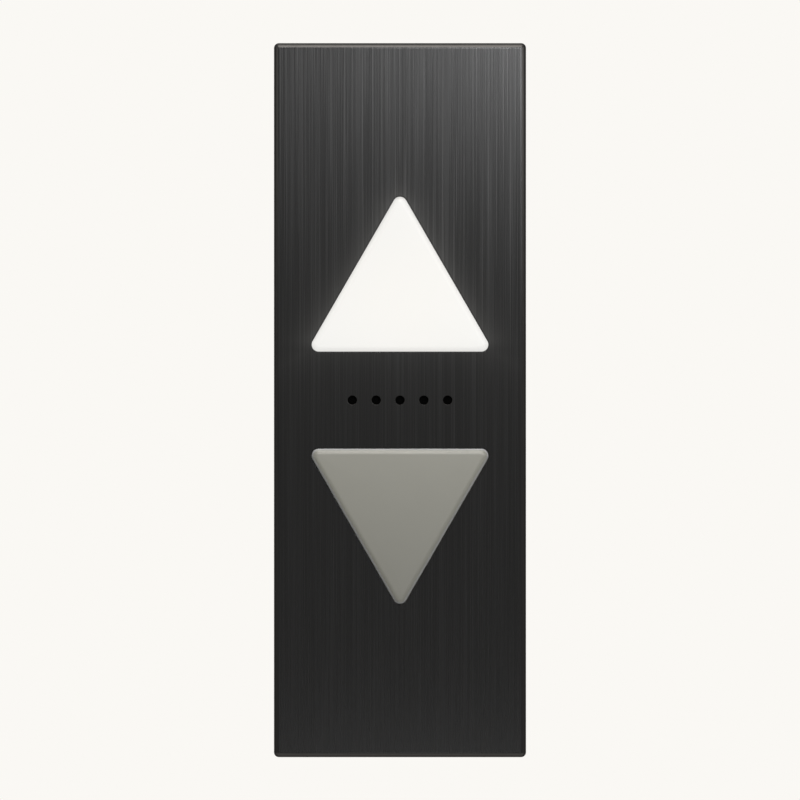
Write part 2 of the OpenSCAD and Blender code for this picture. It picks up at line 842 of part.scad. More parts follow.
// Lamp board that closes the back of a light box
module lamp_board() {
    color("#f1f1ec") difference() {
        union() {
            arrow_block(lamp_margin, lamp_z, box_back);
            at_corners(boss_reach) translate([0, 0, lamp_z]) cylinder(r = boss_r, h = pcb_t);
        }
        at_corners(boss_reach) translate([0, 0, lamp_z - past])
            cylinder(r = tap_r + stud_gap, h = pcb_t + 2 * past);
    }
}

// Triangular lattice of lamps, each a body with a round window
module lamps() {
    row_h = lamp_pitch * sin(60);
    top_y = (lamp_rows - 1) * row_h * 2 / 3;
    color("#f6e27a") for (row = [0 : lamp_rows - 1], i = [0 : row])
        translate([(i - row / 2) * lamp_pitch, top_y - row * row_h, box_back]) {
            chip(0, 0, lamp_w, lamp_w, 0, lamp_t);
            cylinder(r = lamp_w * 0.38, h = lamp_t + 0.2);
        }
}

module lamp_screws() {
    color(zinc) at_corners(boss_reach) translate([0, 0, lamp_z]) difference() {
        union() {
            translate([0, 0, -tap_head_t]) cylinder(r = tap_head_r, h = tap_head_t);
            translate([0, 0, -past / 2]) cylinder(r = tap_r, h = pilot_l + past / 2);
        }
        for (a = [0, 90]) translate([0, 0, -tap_head_t]) rotate(a) cube([2.6, 0.5, 1.4], center = true);
    }
}

// Header on the back of a lamp board
module lamp_socket() {
    off_centre = 8;
    t = 5;
    color(white_plastic) translate([0, -off_centre, lamp_z]) mirror([0, 0, 1])
        lead_socket(socket_w, socket_d, t);
}

module up_lens() { stand() at_arrow(true) lens("#f4f3f0"); }
module up_gasket() { stand() at_arrow(true) gasket(); }
module up_light_box() { stand() at_arrow(true) light_box(); }
module up_lamp_board() { stand() at_arrow(true) lamp_board(); }
module up_lamps() { stand() at_arrow(true) lamps(); }
module up_board_screws() { stand() at_arrow(true) lamp_screws(); }
module up_lead_socket() { stand() at_arrow(true) lamp_socket(); }

module down_lens() { stand() at_arrow(false) lens("#8c8b85"); }
module down_gasket() { stand() at_arrow(false) gasket(); }
module down_light_box() { stand() at_arrow(false) light_box(); }
module down_lamp_board() { stand() at_arrow(false) lamp_board(); }
module down_lamps() { stand() at_arrow(false) lamps(); }
module down_board_screws() { stand() at_arrow(false) lamp_screws(); }
module down_lead_socket() { stand() at_arrow(false) lamp_socket(); }

// Fine mesh strip that keeps dust out of the sound holes
module sound_mesh() {
    color("#101010") stand() block(sound_path, sound_r + 3, face_in - mesh_t, face_in);
}

// Moulded housing: a front plate with a trough that leads the sound to every
// hole, a round wall for the speaker and four hooks that hold its rim
module speaker_housing() {
    hook_z = speaker_z - 2.0;
    color("#2e3133") stand() difference() {
        union() {
            block(housing_path, housing_r + 0.35, speaker_z, face_in);
            block([[-housing_stud_x, 0], [housing_stud_x, 0]], ear_r, speaker_z, face_in);
            ring(housing_r, speaker_r + speaker_gap, speaker_z + floor_z, speaker_z + past / 2);
            for (a = [45 : 90 : 315]) rotate(a) translate([speaker_r - 0.7, -1.5, hook_z])
                cube([housing_r - speaker_r, 3, 0.7]);
        }
        translate([0, 0, speaker_z - past]) cylinder(r = mouth_r, h = housing_t + 2 * past);
        block(sound_path, sound_r + 1.5, face_in - 1.3, face_in + past);
        block(sound_path, sound_r + 3.2, face_in - mesh_t, face_in + past);
        both_sides() translate([housing_stud_x, 0, speaker_z - past])
            cylinder(r = stud_r + stud_gap, h = housing_t + 2 * past);
    }
}

// Moves a shape drawn from the speaker's front rim into place
module at_speaker() {
    stand() translate([0, 0, speaker_z]) children();
}

// Pressed basket with six windows
module speaker_frame() {
    color("#3a3d40") at_speaker() difference() {
        rotate_extrude() polygon([
            [rim_in_r, 0], [speaker_r, 0], [speaker_r, -1.2], [rim_in_r + 0.7, -1.2],
            [floor_r, floor_z], [gap_r + 0.2, floor_z], [gap_r + 0.2, floor_z + frame_t],
            [floor_r - 0.5, floor_z + frame_t], [rim_in_r, -0.8]
        ]);
        for (a = [0 : 60 : 300]) rotate(a) translate([floor_r - 0.3, -2.3, floor_z + 1.6])
            cube([4.5, 4.6, 3.4]);
    }
}

module speaker_top_plate() {
    color(zinc) at_speaker() ring(motor_r - 0.4, gap_r, floor_z - plate_t, floor_z);
}

module speaker_magnet() {
    color("#46484b") at_speaker() ring(motor_r, gap_r + 0.6, floor_z - plate_t - ring_t, floor_z - plate_t);
}

// Back plate and pole, turned in one piece
module speaker_yoke() {
    pole_l = ring_t + plate_t;
    color(zinc) at_speaker() translate([0, 0, floor_z - plate_t - ring_t - yoke_t]) {
        cylinder(r = motor_r - 0.2, h = yoke_t);
        cylinder(r = pole_r, h = yoke_t + pole_l);
    }
}

module speaker_cone() {
    color("#242424") at_speaker() rotate_extrude() polygon([
        [coil_r, neck_z - skin_t], [coil_r, neck_z], [roll_in_r - 0.4, edge_z],
        [roll_in_r, edge_z], [roll_in_r, edge_z - skin_t], [roll_in_r - 0.3, edge_z - skin_t]
    ]);
}

// Domed cap glued on the cone
module speaker_dust_cap() {
    slope = (edge_z - neck_z) / (roll_in_r - 0.4 - coil_r);
    foot = neck_z + slope * (cap_r - coil_r) + 0.01;
    ball_z = foot - sqrt(cap_ball_r * cap_ball_r - cap_r * cap_r);
    color("#1c1c1c") at_speaker() intersection() {
        translate([0, 0, ball_z]) difference() {
            sphere(cap_ball_r);
            sphere(cap_ball_r - 0.3);
        }
        translate([0, 0, foot]) cylinder(r = cap_r + past, h = cap_ball_r);
    }
}

module voice_coil() {
    color("#b06a35") at_speaker() ring(coil_r, coil_r - coil_t, floor_z - plate_t - 0.4, neck_z);
}

// Half-roll between the cone and the basket's rim
module speaker_surround() {
    roll_r = (rim_in_r - roll_in_r) / 2;
    color("#151515") at_speaker() rotate_extrude() difference() {
        union() {
            translate([roll_in_r, edge_z - skin_t]) square([2 * roll_r, skin_t]);
            translate([roll_in_r + roll_r, edge_z]) circle(roll_r - 0.1);
        }
        translate([roll_in_r - past, edge_z - skin_t - 2]) square([2 * roll_r + 2 * past, 2]);
    }
}

// Centring disc between the voice coil and the basket's floor
module speaker_spider() {
    floor_top = floor_z + frame_t;
    color("#a98a4e") at_speaker() rotate_extrude() polygon([
        [coil_r, floor_top + 0.8], [floor_r - 0.6, floor_top + 0.8], [floor_r - 0.6, floor_top],
        [floor_r - 1.1, floor_top], [floor_r - 1.1, floor_top + 0.5], [coil_r, floor_top + 0.5]
    ]);
}

// Tag strip under the basket's floor
module speaker_terminals() {
    strip_w = 8;
    strip_d = 4;
    tag_w = 1.8;
    tag_d = 3.6;
    tag_t = 0.4;
    color("#b98a4a") at_speaker() {
        chip(0, -floor_r - strip_d / 4, strip_w, strip_d, floor_z - plate_t, plate_t);
        for (x = [-0.3, 0.3] * strip_w)
            chip(x, -floor_r - strip_d / 2 + 0.4, tag_w, tag_d, floor_z - plate_t - tag_t, tag_t);
    }
}

back_plate();
chassis_flanges();
cable_grommet();
hinge_pins();
hinge_clips();
board_standoffs();
control_board();
board_screws();
terminal_block();
terminal_screws();
controller_chip();
amplifier_chip();
capacitors();
chip_resistors();
lead_sockets();
dip_switch();
dip_lever_1();
dip_lever_2();
dip_lever_3();
dip_lever_4();
volume_trimmer();
trimmer_rotor();
magnet_posts();
catch_magnets();
earth_stud();
earth_nut();
cover();
hinge_tabs();
keeper_plates();
cover_studs();
stud_nuts();
up_lens();
up_gasket();
up_light_box();
up_lamp_board();
up_lamps();
up_board_screws();
up_lead_socket();
down_lens();
down_gasket();
down_light_box();
down_lamp_board();
down_lamps();
down_board_screws();
down_lead_socket();
sound_mesh();
speaker_housing();
speaker_frame();
speaker_magnet();
speaker_yoke();
speaker_top_plate();
speaker_cone();
speaker_dust_cap();
voice_coil();
speaker_surround();
speaker_spider();
speaker_terminals();
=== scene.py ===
"""Looks of the elevator hall lantern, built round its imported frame.

Lengths in this script are millimetres measured as on the wall: x to the right,
y up the wall and z out of the wall. at() turns them into the frame's metres.
"""
import json
import math

import bmesh
import bpy
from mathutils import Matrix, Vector

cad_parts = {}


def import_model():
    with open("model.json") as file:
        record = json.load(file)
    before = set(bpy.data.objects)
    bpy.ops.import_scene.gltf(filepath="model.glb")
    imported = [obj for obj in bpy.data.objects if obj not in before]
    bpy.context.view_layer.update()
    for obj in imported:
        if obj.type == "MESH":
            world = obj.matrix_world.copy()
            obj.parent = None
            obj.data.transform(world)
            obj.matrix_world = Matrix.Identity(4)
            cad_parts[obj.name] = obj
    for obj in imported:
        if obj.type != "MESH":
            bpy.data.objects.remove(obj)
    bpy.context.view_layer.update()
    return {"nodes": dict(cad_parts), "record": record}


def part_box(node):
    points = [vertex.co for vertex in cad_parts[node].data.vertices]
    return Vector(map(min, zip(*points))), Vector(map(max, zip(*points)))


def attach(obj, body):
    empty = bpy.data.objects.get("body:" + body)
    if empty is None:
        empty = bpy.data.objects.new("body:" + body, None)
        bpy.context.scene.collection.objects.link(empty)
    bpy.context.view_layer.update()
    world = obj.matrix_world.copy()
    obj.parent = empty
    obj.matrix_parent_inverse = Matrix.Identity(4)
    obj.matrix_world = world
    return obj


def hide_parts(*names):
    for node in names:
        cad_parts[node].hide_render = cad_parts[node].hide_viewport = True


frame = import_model()
nodes = frame["nodes"]
slots = {m["slot"]: m for m in frame["record"]["materials"]}
slot_of = {p["node"]: p["material_slot"] for p in frame["record"]["subparts"]}

MM = 0.001

# The cover, as the frame has it, with a softer front edge
HALF_W, HALF_H = 57.15, 161.925
WALL_GAP, FACE_Z, SHEET = 1.0, 28.0, 1.5
CORNER_R, FRONT_R = 2.2, 2.6
FACE_IN = FACE_Z - SHEET
PIN_DROP = 3.0
PIVOT_Y = HALF_H - SHEET - PIN_DROP
ARROW_BREAK, HOLE_BREAK = 0.22, 0.10
SOUND_R, SOUND_PITCH, SOUND_HOLES = 2.12, 10.8, 5

# The arrows: their corner radius, the inner radius between the corner centres, and their middle
ARROW_R, ARROW_IN, ARROW_Y = 3.2, 63.8 / 3, 46.4667
CUT_M, RIM_M = ARROW_R + 0.25, ARROW_R + 3.0
SEAT_Z, RIM_T, LENS_WALL = 24.0, 2.0, 2.5
LENS_TOP, LENS_EDGE_R, LENS_CROWN = 30.6, 2.7, 0.15

# Tones that the record's slots don't hold
BLACK_METAL, WORN_METAL = (0.0187, 0.0188, 0.0190), (0.034, 0.033, 0.032)
BLACK_INSIDE, GLOW = (0.016, 0.016, 0.017), (1.0, 0.98, 0.93, 1)
LIT_OPAL, LIT_MIDDLE, LIT_EDGE = (0.15, 0.15, 0.147, 1), (1.0, 0.985, 0.945), (0.97, 0.965, 0.94)
GREY_OPAL, GREY_TIP_SHADE, GREY_RIM_REFLECTION = (0.162, 0.163, 0.144), (0.119, 0.120, 0.106), (0.35, 0.36, 0.37)
ZINC, ZINC_STUD, BRASS_STUD = (0.43, 0.44, 0.46), (0.50, 0.51, 0.53), (0.62, 0.47, 0.20)
TIN, GILT, ALUMINIUM = (0.60, 0.59, 0.57), (0.66, 0.56, 0.36), (0.60, 0.61, 0.62)
GREEN_MASK, GREEN_TRACK = (0.030, 0.150, 0.070), (0.065, 0.285, 0.128)
WHITE_MASK, WHITE_TRACK = (0.76, 0.76, 0.73), (0.64, 0.64, 0.60)
LAMINATE, INK = (0.36, 0.30, 0.16), (0.72, 0.72, 0.69)
CHIP_BLACK, DIMPLE_BLACK, GLAZE = (0.022, 0.022, 0.024), (0.010, 0.010, 0.011), (0.02, 0.02, 0.022)
CERAMIC, NYLON, LAMP_BODY = (0.70, 0.69, 0.66), (0.74, 0.73, 0.69), (0.80, 0.79, 0.76)
SHADE_BETWEEN_WIRES = (0.14, 0.05, 0.02)
MESH_GAP_SHADE, MESH_THREAD = (0.0005, 0.0005, 0.0005), (0.003, 0.003, 0.003)

# Pitches of fine patterns: a board's weave and layers, the coil's wire and the mesh
WEAVE, LAYER, WIRE = 0.9, 0.4, 0.24
MESH_PITCH = 2 * math.pi / 14

# Sizes of small parts: half a socket, a pin's distance from its middle, and a can's half base
SOCKET_HALF_X, SOCKET_HALF_Y, PIN_X = 3.75, 2.9, 1.25
CAN_HALF = 3.3


def at(x, y, z):
    """A place on the wall in the frame's metres."""
    return Vector((x * MM, -z * MM, y * MM))


def span(node):
    """Lowest and highest x, y and z of a CAD node, in mm on the wall."""
    low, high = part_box(node)
    return (low[0] / MM, high[0] / MM), (low[2] / MM, high[2] / MM), (-high[1] / MM, -low[1] / MM)


def middle(node):
    """Middle of a CAD node, in mm on the wall."""
    return [(low + high) / 2 for low, high in span(node)]


def places(mid, count, pitch):
    """Evenly spaced places round a middle."""
    return [mid + (i - (count - 1) / 2) * pitch for i in range(count)]


# Places of the control board's parts: each X or Y is a lowest and a highest, or a list of places
BOARD_TOP = span("control_board")[2][1]
BOARD_MID = middle("control_board")[1]
WAYS = places(middle("terminal_block")[0], 6, 5.08)
TERMINAL_Y = span("terminal_block")[1]
CHIP_X, CHIP_Y = span("controller_chip")[:2]
CHIP_LEGS_X, CHIP_LEGS_Y = places(sum(CHIP_X) / 2, 8, 0.8), places(sum(CHIP_Y) / 2, 8, 0.8)
AMP_X, AMP_Y = span("amplifier_chip")[:2]
AMP_LEGS = places(sum(AMP_X) / 2, 6, 1.27)
RESISTOR_X, RESISTOR_Y = span("chip_resistors")[:2]
LEFT_RESISTORS = [RESISTOR_X[0] + 0.8 + 3 * i for i in range(6)]
RIGHT_RESISTORS = [RESISTOR_X[1] - 0.8 - 3 * i for i in range(3)]
SOCKETS_RIGHT, SOCKETS_TOP = span("lead_sockets")[0][1], span("lead_sockets")[1][1]
SOCKET_X = (SOCKETS_RIGHT - SOCKET_HALF_X - 9.5, SOCKETS_RIGHT - SOCKET_HALF_X)
SOCKET_Y = SOCKETS_TOP - SOCKET_HALF_Y
FOOT_Y = middle("dip_switch")[1]
LEVERS = places(middle("dip_switch")[0], 4, 2.54)
TRIMMER_PINS = places(middle("volume_trimmer")[0], 3, 2.54)
CANS = (span("capacitors")[0][0] + CAN_HALF, span("capacitors")[0][1] - CAN_HALF)


def tinted(base, share):
    """A darker or lighter tone, held below white."""
    return [min(1, c * share) for c in base]


class Nodes:
    """Short calls that add nodes to a shader tree and link them."""

    def __init__(self, tree, shader):
        self.tree = tree
        self.shader = tree.nodes[shader]

    def feed(self, socket, value):
        """Links a socket to another one, or gives it a constant."""
        if isinstance(value, bpy.types.NodeSocket):
            self.tree.links.new(value, socket)
        else:
            socket.default_value = value

    def set(self, socket, value):
        """Feeds a socket of the tree's shader."""
        self.feed(self.shader.inputs[socket], value)

    def node(self, kind, inputs=(), **props):
        """Adds a node with its properties, and feeds its inputs."""
        made = self.tree.nodes.new("ShaderNode" + kind)
        for key, value in props.items():
            setattr(made, key, value)
        for key, value in dict(inputs).items():
            self.feed(made.inputs[key], value)
        return made

    def math(self, operation, a, b=0.0, clamp=False):
        return self.node("Math", {0: a, 1: b}, operation=operation, use_clamp=clamp).outputs[0]

    def add(self, a, b):
        return self.math("ADD", a, b)

    def sub(self, a, b):
        return self.math("SUBTRACT", a, b)

    def mul(self, a, b):
        return self.math("MULTIPLY", a, b)

    def unsigned(self, value):
        """The value without its sign."""
        return self.math("ABSOLUTE", value)

    def larger(self, a, b):
        return self.math("MAXIMUM", a, b)

    def inverse(self, part):
        """0 where a part is 1, and 1 where it is 0."""
        return self.sub(1.0, part)

    def wave(self, value, pitch):
        """Sine of a place in mm, which repeats at a pitch in mm."""
        return self.math("SINE", self.mul(value, 2 * math.pi / pitch))

    def length(self, vector):
        return self.node("VectorMath", {0: vector}, operation="LENGTH").outputs["Value"]

    def scaled(self, vector, share):
        return self.node("VectorMath", {0: vector, "Scale": share}, operation="SCALE").outputs[0]

    def ramp(self, value, low, high, out_low=0.0, out_high=1.0, smooth=True):
        """Takes a value from one range to another, and holds it there beyond the ends."""
        return self.node("MapRange", {"Value": value, "From Min": low, "From Max": high,
                                      "To Min": out_low, "To Max": out_high},
                         interpolation_type="SMOOTHSTEP" if smooth else "LINEAR").outputs[0]

    def mix(self, factor, a, b):
        """Blends from tone a to tone b."""
        mixer = self.node("Mix", {0: factor}, data_type="RGBA", clamp_factor=True)
        for key, tone in ((6, a), (7, b)):
            self.feed(mixer.inputs[key], tone if isinstance(tone, bpy.types.NodeSocket) else (*tone, 1))
        return mixer.outputs[2]


class Look(Nodes):
    """A node material in a slot's colour, whose patterns are measured in millimetres on the part."""

    def __init__(self, slot, rough, metal=0.0, name=None, **sockets):
        self.mat = bpy.data.materials.new(name or slot)
        self.mat.use_nodes = True
        super().__init__(self.mat.node_tree, "Principled BSDF")
        self.color = tuple(slots[slot]["base_color"])
        self.set("Base Color", (*self.color, 1))
        self.set("Roughness", rough)
        self.set("Metallic", metal)
        for socket, value in sockets.items():
            self.set(socket.replace("_", " "), value)
        self.height = None

    def place(self, origin=(0, 0, 0), stretch=(1, 1, 1)):
        """Position in mm from an origin on the part, in the frame's axes, stretched along x, y and z."""
        coords = self.node("TexCoord").outputs["Object"]
        shift = self.node("Mapping", {"Vector": coords, "Scale": (1 / MM, 1 / MM, 1 / MM),
                                      "Location": (-origin[0], origin[2], -origin[1])})
        across, up, out = stretch
        return self.node("Mapping", {"Vector": shift.outputs[0], "Scale": (across, out, up)}).outputs[0]

    def axes(self, origin=(0, 0, 0)):
        """Position in mm from an origin on the part, as x, y up and z out."""
        parts = self.node("SeparateXYZ", {"Vector": self.place(origin)}).outputs
        return parts["X"], parts["Z"], self.mul(parts["Y"], -1.0)

    def reach(self, origin=(0, 0, 0)):
        """Distance in mm from a line that goes straight into the wall."""
        return self.length(self.place(origin, (1, 1, 0)))

    def noise(self, size, stretch=(1, 1, 1), detail=2.0, rough=0.5):
        """Soft patches about size mm wide."""
        return self.node("TexNoise", {"Vector": self.place(stretch=stretch), "Scale": 1 / size,
                                      "Detail": detail, "Roughness": rough}).outputs["Fac"]

    def streaks(self, size, thin, detail, shift):
        """Brush lines that run up the part, and front to back over its top and bottom."""
        x, y, z = self.axes()
        level = self.ramp(self.unsigned(self.facing("Z")), 0.6, 0.8, 1.0, thin)
        vector = self.node("CombineXYZ", {0: self.add(x, shift), 1: self.mul(y, thin),
                                          2: self.mul(z, level)}).outputs[0]
        return self.node("TexNoise", {"Vector": vector, "Scale": 1 / size, "Detail": detail}).outputs["Fac"]

    def cells(self, size):
        """Flat-toned crystals about size mm wide."""
        made = self.node("TexVoronoi", {"Vector": self.place(), "Scale": 1 / size}, feature="F1")
        return self.node("SeparateColor", {0: made.outputs["Color"]}).outputs[0]

    def paint(self, tone):
        """Sets the base colour."""
        self.set("Base Color", tone)

    def facing(self, axis):
        """How far the surface faces along one of the part's axes."""
        local = self.node("VectorTransform", {"Vector": self.node("NewGeometry").outputs["Normal"]},
                          vector_type="NORMAL", convert_from="WORLD", convert_to="OBJECT").outputs[0]
        return self.node("SeparateXYZ", {"Vector": local}).outputs[axis]

    def front(self):
        """1 where the surface faces the front, and 0 where it faces a side."""
        return self.mul(self.facing("Y"), -1.0)

    def near(self, spots, reach):
        """1 within a distance of any of the spots, seen from the front."""
        blur = 0.03
        flat = self.place(stretch=(1, 1, 0))
        gaps = [self.node("VectorMath", {0: flat, 1: (x, 0, y)}, operation="DISTANCE").outputs["Value"]
                for x, y in spots]
        nearest = gaps[0]
        for gap in gaps[1:]:
            nearest = self.math("MINIMUM", gap, nearest)
        return self.ramp(nearest, reach - blur, reach + blur, 1.0, 0.0)

    def shade(self, factor, spread, base=None):
        """Colour that varies round the base by a share, as the factor goes from 0 to 1."""
        base = base or self.color
        return self.mix(factor, tinted(base, 1 - spread), tinted(base, 1 + spread))

    def cloudy(self, size, spread, base=None, detail=3.0):
        """Base colour that varies in soft patches."""
        return self.shade(self.noise(size, detail=detail), spread, base)

    def uneven(self, size, low, high, detail=3.0, rough=0.5):
        """Roughness that varies in soft patches between two values."""
        self.set("Roughness", self.ramp(self.noise(size, detail=detail, rough=rough), 0.3, 0.7, low, high))

    def bump(self, height, depth):
        """Adds relief, with its depth in mm."""
        scaled = self.mul(height, depth)
        self.height = scaled if self.height is None else self.add(self.height, scaled)

    def done(self):
        """Joins up the relief and gives the material."""
        if self.height is not None:
            relief = self.node("Bump", {"Height": self.height, "Distance": MM, "Strength": 1.0})
            self.set("Normal", relief.outputs[0])
        return self.mat


# Plain plastics: roughness, width and depth of the grain in mm, and spread of the colour
PLASTICS = {
    "black_rubber": (0.72, 0.3, 0.02, 0.15),
    "green_terminal": (0.42, 0.25, 0.012, 0.06),
    "black_chip": (0.5, 0.18, 0.012, 0.12),
    "white_nylon": (0.4, 0.3, 0.008, 0.03),
    "red_switch": (0.4, 0.25, 0.012, 0.06),
    "white_lever": (0.38, 0.3, 0.006, 0.03),
    "blue_trimmer": (0.4, 0.25, 0.012, 0.06),
    "black_plastic": (0.5, 0.22, 0.02, 0.1),
    "white_light_box": (0.42, 0.35, 0.01, 0.02),
    "pressed_frame": (0.35, 0.4, 0.01, 0.08),
    "ferrite": (0.55, 0.2, 0.02, 0.12),
}


def plastic(slot, rough, grain, depth, spread):
    """Moulded plastic: spark-eroded texture, faint flow marks."""
    look = Look(slot, rough)
    fine = look.noise(grain, detail=3)
    look.paint(look.cloudy(9, spread))
    look.uneven(3, rough - 0.07, rough + 0.07, detail=2)
    look.bump(fine, depth)
    return look


def metal(slot, rough=0.32, spread=0.08, depth=0.004):
    """Plain metal with a cloudy shine."""
    look = Look(slot, rough, 1.0)
    look.paint(look.shade(look.noise(7, detail=4, rough=0.6), spread))
    look.uneven(2.5, rough - 0.1, rough + 0.1, detail=4, rough=0.65)
    look.bump(look.noise(0.35, detail=3), depth)
    return look


def zinc():
    """Zinc-plated sheet: faint crystals and a soft, cloudy shine."""
    look = Look("zinc_steel", 0.4, 1.0)
    crystal_share, cloud_share = 0.35, 0.65
    cloud = look.noise(14, detail=4, rough=0.6)
    tone = look.add(look.mul(look.cells(7), crystal_share), look.mul(cloud, cloud_share))
    look.paint(look.shade(tone, 0.18, ZINC))
    look.set("Roughness", look.ramp(tone, 0.2, 0.8, 0.34, 0.47))
    look.bump(look.noise(0.25), 0.0006)
    return look


def brushed_black():
    """Black satin metal, brushed up and down outside, with a faint glow of the lit arrow painted round it.
    """
    look = Look("black_brushed_metal", 0.28, 1.0, Anisotropic=0.62, Specular_Tint=(0.45, 0.45, 0.45, 1))
    x, y, z = look.axes()
    front = look.front()

    # Even lines all over, stronger ones here and there, and rare hairlines whose painted sheen, strongest at
    # the top where the highlight falls, fades down the face
    fine = look.streaks(0.32, 0.003, 1, 0)
    broad = look.streaks(3.0, 0.02, 3, 31)
    lines = look.ramp(look.add(look.mul(fine, 0.7), look.mul(broad, 0.3)), 0.32, 0.68, -1.0, 1.0)
    strong = look.math("POWER", look.ramp(lines, -1.0, 1.0, smooth=False), 3.0)
    hair = look.ramp(look.streaks(0.34, 0.003, 0, 7), 0.64, 0.74)
    brush = look.add(look.mul(lines, 0.04), look.mul(strong, 0.06))
    # Painted highlight: the hairlines are lighter towards the top of the face, where the lamps' highlight
    # falls
    brush = look.add(brush, look.mul(hair, look.ramp(y, 0, 120, 0.12, 0.60)))
    level = look.add(1.0, brush)

    # Worn lighter where the front edge turns, and plain inside the cover
    worn = look.mul(look.ramp(front, 0.90, 0.99, 1.0, 0.0), look.ramp(front, 0.0, 0.3))
    tone = look.mix(worn, look.scaled(BLACK_METAL, level), WORN_METAL)
    out_x = look.sub(look.unsigned(x), HALF_W - SHEET / 2)
    out_y = look.sub(look.unsigned(y), HALF_H - SHEET / 2)
    out_z = look.sub(z, FACE_Z - SHEET / 2)
    outside = look.ramp(look.larger(look.larger(out_x, out_y), out_z), -0.1, 0.1)
    look.paint(look.mix(outside, BLACK_INSIDE, tone))

    satin = look.add(look.ramp(strong, 0.0, 1.0, 0.258, 0.350, smooth=False), look.mul(hair, 0.02))
    satin = look.add(satin, look.ramp(front, 0.75, 0.995, 0.16, 0.0))
    rough_inside = look.ramp(outside, 0, 1, 0.5, 0.0)
    look.set("Roughness", look.add(look.mul(satin, outside), rough_inside))
    look.bump(look.mul(fine, outside), 0.016)
    look.bump(look.mul(broad, outside), 0.030)
    look.set("Tangent", look.node("Tangent", direction_type="RADIAL", axis="Z").outputs[0])
    # Painted glow of the lit arrow, given as emission on the face round it
    look.set("Emission Color", GLOW)
    look.set("Emission Strength", look.mul(painted_arrow_glow(look, x, y), level))
    return look


def painted_arrow_glow(look, x, y):
    """Painted glow round the lit arrow on the face, standing in for its stray light: strong beside the
    slopes, weak below the base.
    """
    wide_fade, wide_glow = 9.0, 0.009
    near_fade, base_glow, slope_glow = 4.5, 0.002, 0.027
    tip_share = 0.5
    slope = math.radians(30)
    y = look.sub(y, ARROW_Y)
    reach = look.mul(y, -1.0)
    for side in (1, -1):
        slant = look.add(look.mul(x, side * math.cos(slope)), look.mul(y, math.sin(slope)))
        reach = look.larger(reach, slant)
    beyond_tip = look.larger(look.sub(y, 2 * ARROW_IN), 0.0)
    reach = look.add(reach, look.mul(beyond_tip, tip_share))
    away = look.sub(reach, ARROW_IN + ARROW_R)

    def fading(length):
        return look.math("POWER", math.e, look.mul(away, -1 / length), clamp=True)

    wide = look.mul(fading(wide_fade), wide_glow)
    near_glow = look.ramp(y, -ARROW_IN - ARROW_R, -ARROW_IN + 4, base_glow, slope_glow)
    near = look.mul(fading(near_fade), near_glow)
    return look.mul(look.add(wide, near), look.ramp(look.facing("Y"), -1.0, -0.9, 1.0, 0.0))


def lit_lens():
    """Opal acrylic lit from behind, slightly cooler and dimmer away from the middle, with painted shade on
    its wall inside the cover's cut-out.
    """
    look = Look("lit_lens", 0.42, Specular_IOR_Level=0.25)
    base_light, tip_light = 0.663, 0.623
    look.paint(LIT_OPAL)
    arrow_middle = (0, ARROW_Y, 0)
    look.set("Emission Color", look.mix(look.ramp(look.reach(arrow_middle), 5, 42), LIT_MIDDLE, LIT_EDGE))
    _, y, z = look.axes(arrow_middle)
    lamps = look.ramp(y, -ARROW_IN, 2 * ARROW_IN, base_light, tip_light)
    edge = look.ramp(look.front(), 0.1, 0.9, 1.10, 1.0, smooth=False)
    edge = look.sub(edge, look.ramp(look.facing("Z"), 0.25, 0.8, 0.0, 0.28))
    # Painted shade: the wall inside the cover's cut-out glows only faintly, which keeps the gap round the
    # lens dark
    wall = look.ramp(z, FACE_Z - 0.1, FACE_Z + 0.3, 0.08, 1.0)
    look.set("Emission Strength", look.mul(lamps, look.mul(edge, wall)))
    look.bump(look.noise(0.5), 0.002)
    return look


def grey_lens():
    """Unlit opal acrylic: satin grey with painted shade darker towards the tip, a painted reflection lighter
    and cooler round its turned rim, and a faint mould texture.
    """
    look = Look("grey_lens", 0.36, Specular_IOR_Level=0.4)
    tip_y, base_y = -100, -22
    _, y, _ = look.axes()
    tone = look.cloudy(12, 0.02, GREY_OPAL)
    # Painted shade: darker towards the tip, away from the light above
    tone = look.mix(look.ramp(y, tip_y, base_y, smooth=False), GREY_TIP_SHADE, tone)
    # Painted reflection: lighter and cooler where the rim turns away from the front
    edge = look.ramp(look.front(), 0.30, 0.85, 1.0, 0.0)
    look.paint(look.mix(edge, tone, GREY_RIM_REFLECTION))
    look.uneven(1.5, 0.33, 0.40)
    look.bump(look.noise(0.4), 0.003)
    return look


def solder_mask(slot, base):
    """Solder mask over woven laminate, which shows bare along the board's edges."""
    look = Look(slot, 0.3)
    x, y, z = look.axes()
    weave = look.mul(look.wave(x, WEAVE), look.wave(y, WEAVE))
    tone = look.mix(look.ramp(weave, -1, 1, smooth=False), tinted(base, 0.94), tinted(base, 1.05))
    edge = look.mix(look.ramp(look.wave(z, LAYER), -1, 1), tinted(LAMINATE, 0.8), LAMINATE)
    broad = look.ramp(look.unsigned(look.facing("Y")), 0.4, 0.6)
    look.paint(look.mix(broad, edge, tone))
    look.uneven(6, 0.24, 0.36)
    look.bump(weave, 0.002)
    return look


def copper_track(slot, base):
    """Copper under solder mask: the mask is lighter and smoother there."""
    look = Look(slot, 0.26)
    look.paint(look.cloudy(3, 0.06, base))
    look.uneven(2, 0.2, 0.3, detail=2)
    look.bump(look.noise(0.4), 0.002)
    return look


def tin():
    """Solder on pads and legs: bright, a little frosted and uneven."""
    look = Look("zinc_steel", 0.3, 1.0)
    look.paint(look.cloudy(0.8, 0.12, TIN))
    look.uneven(0.5, 0.22, 0.42)
    look.bump(look.noise(0.3), 0.008)
    return look


def printed_mark():
    """White ink of a board's component outlines, thinly printed."""
    look = Look("white_board", 0.6)
    look.paint(look.cloudy(0.5, 0.10, INK))
    look.bump(look.noise(0.15), 0.004)
    return look


def two_tone(look, part, plain, metal_tone, rough, metal_rough):
    """Splits a look between moulded material and bare metal, where part is 1."""
    look.paint(look.mix(part, plain, metal_tone))
    look.set("Metallic", part)
    look.set("Roughness", look.ramp(part, 0, 1, rough, metal_rough, smooth=False))


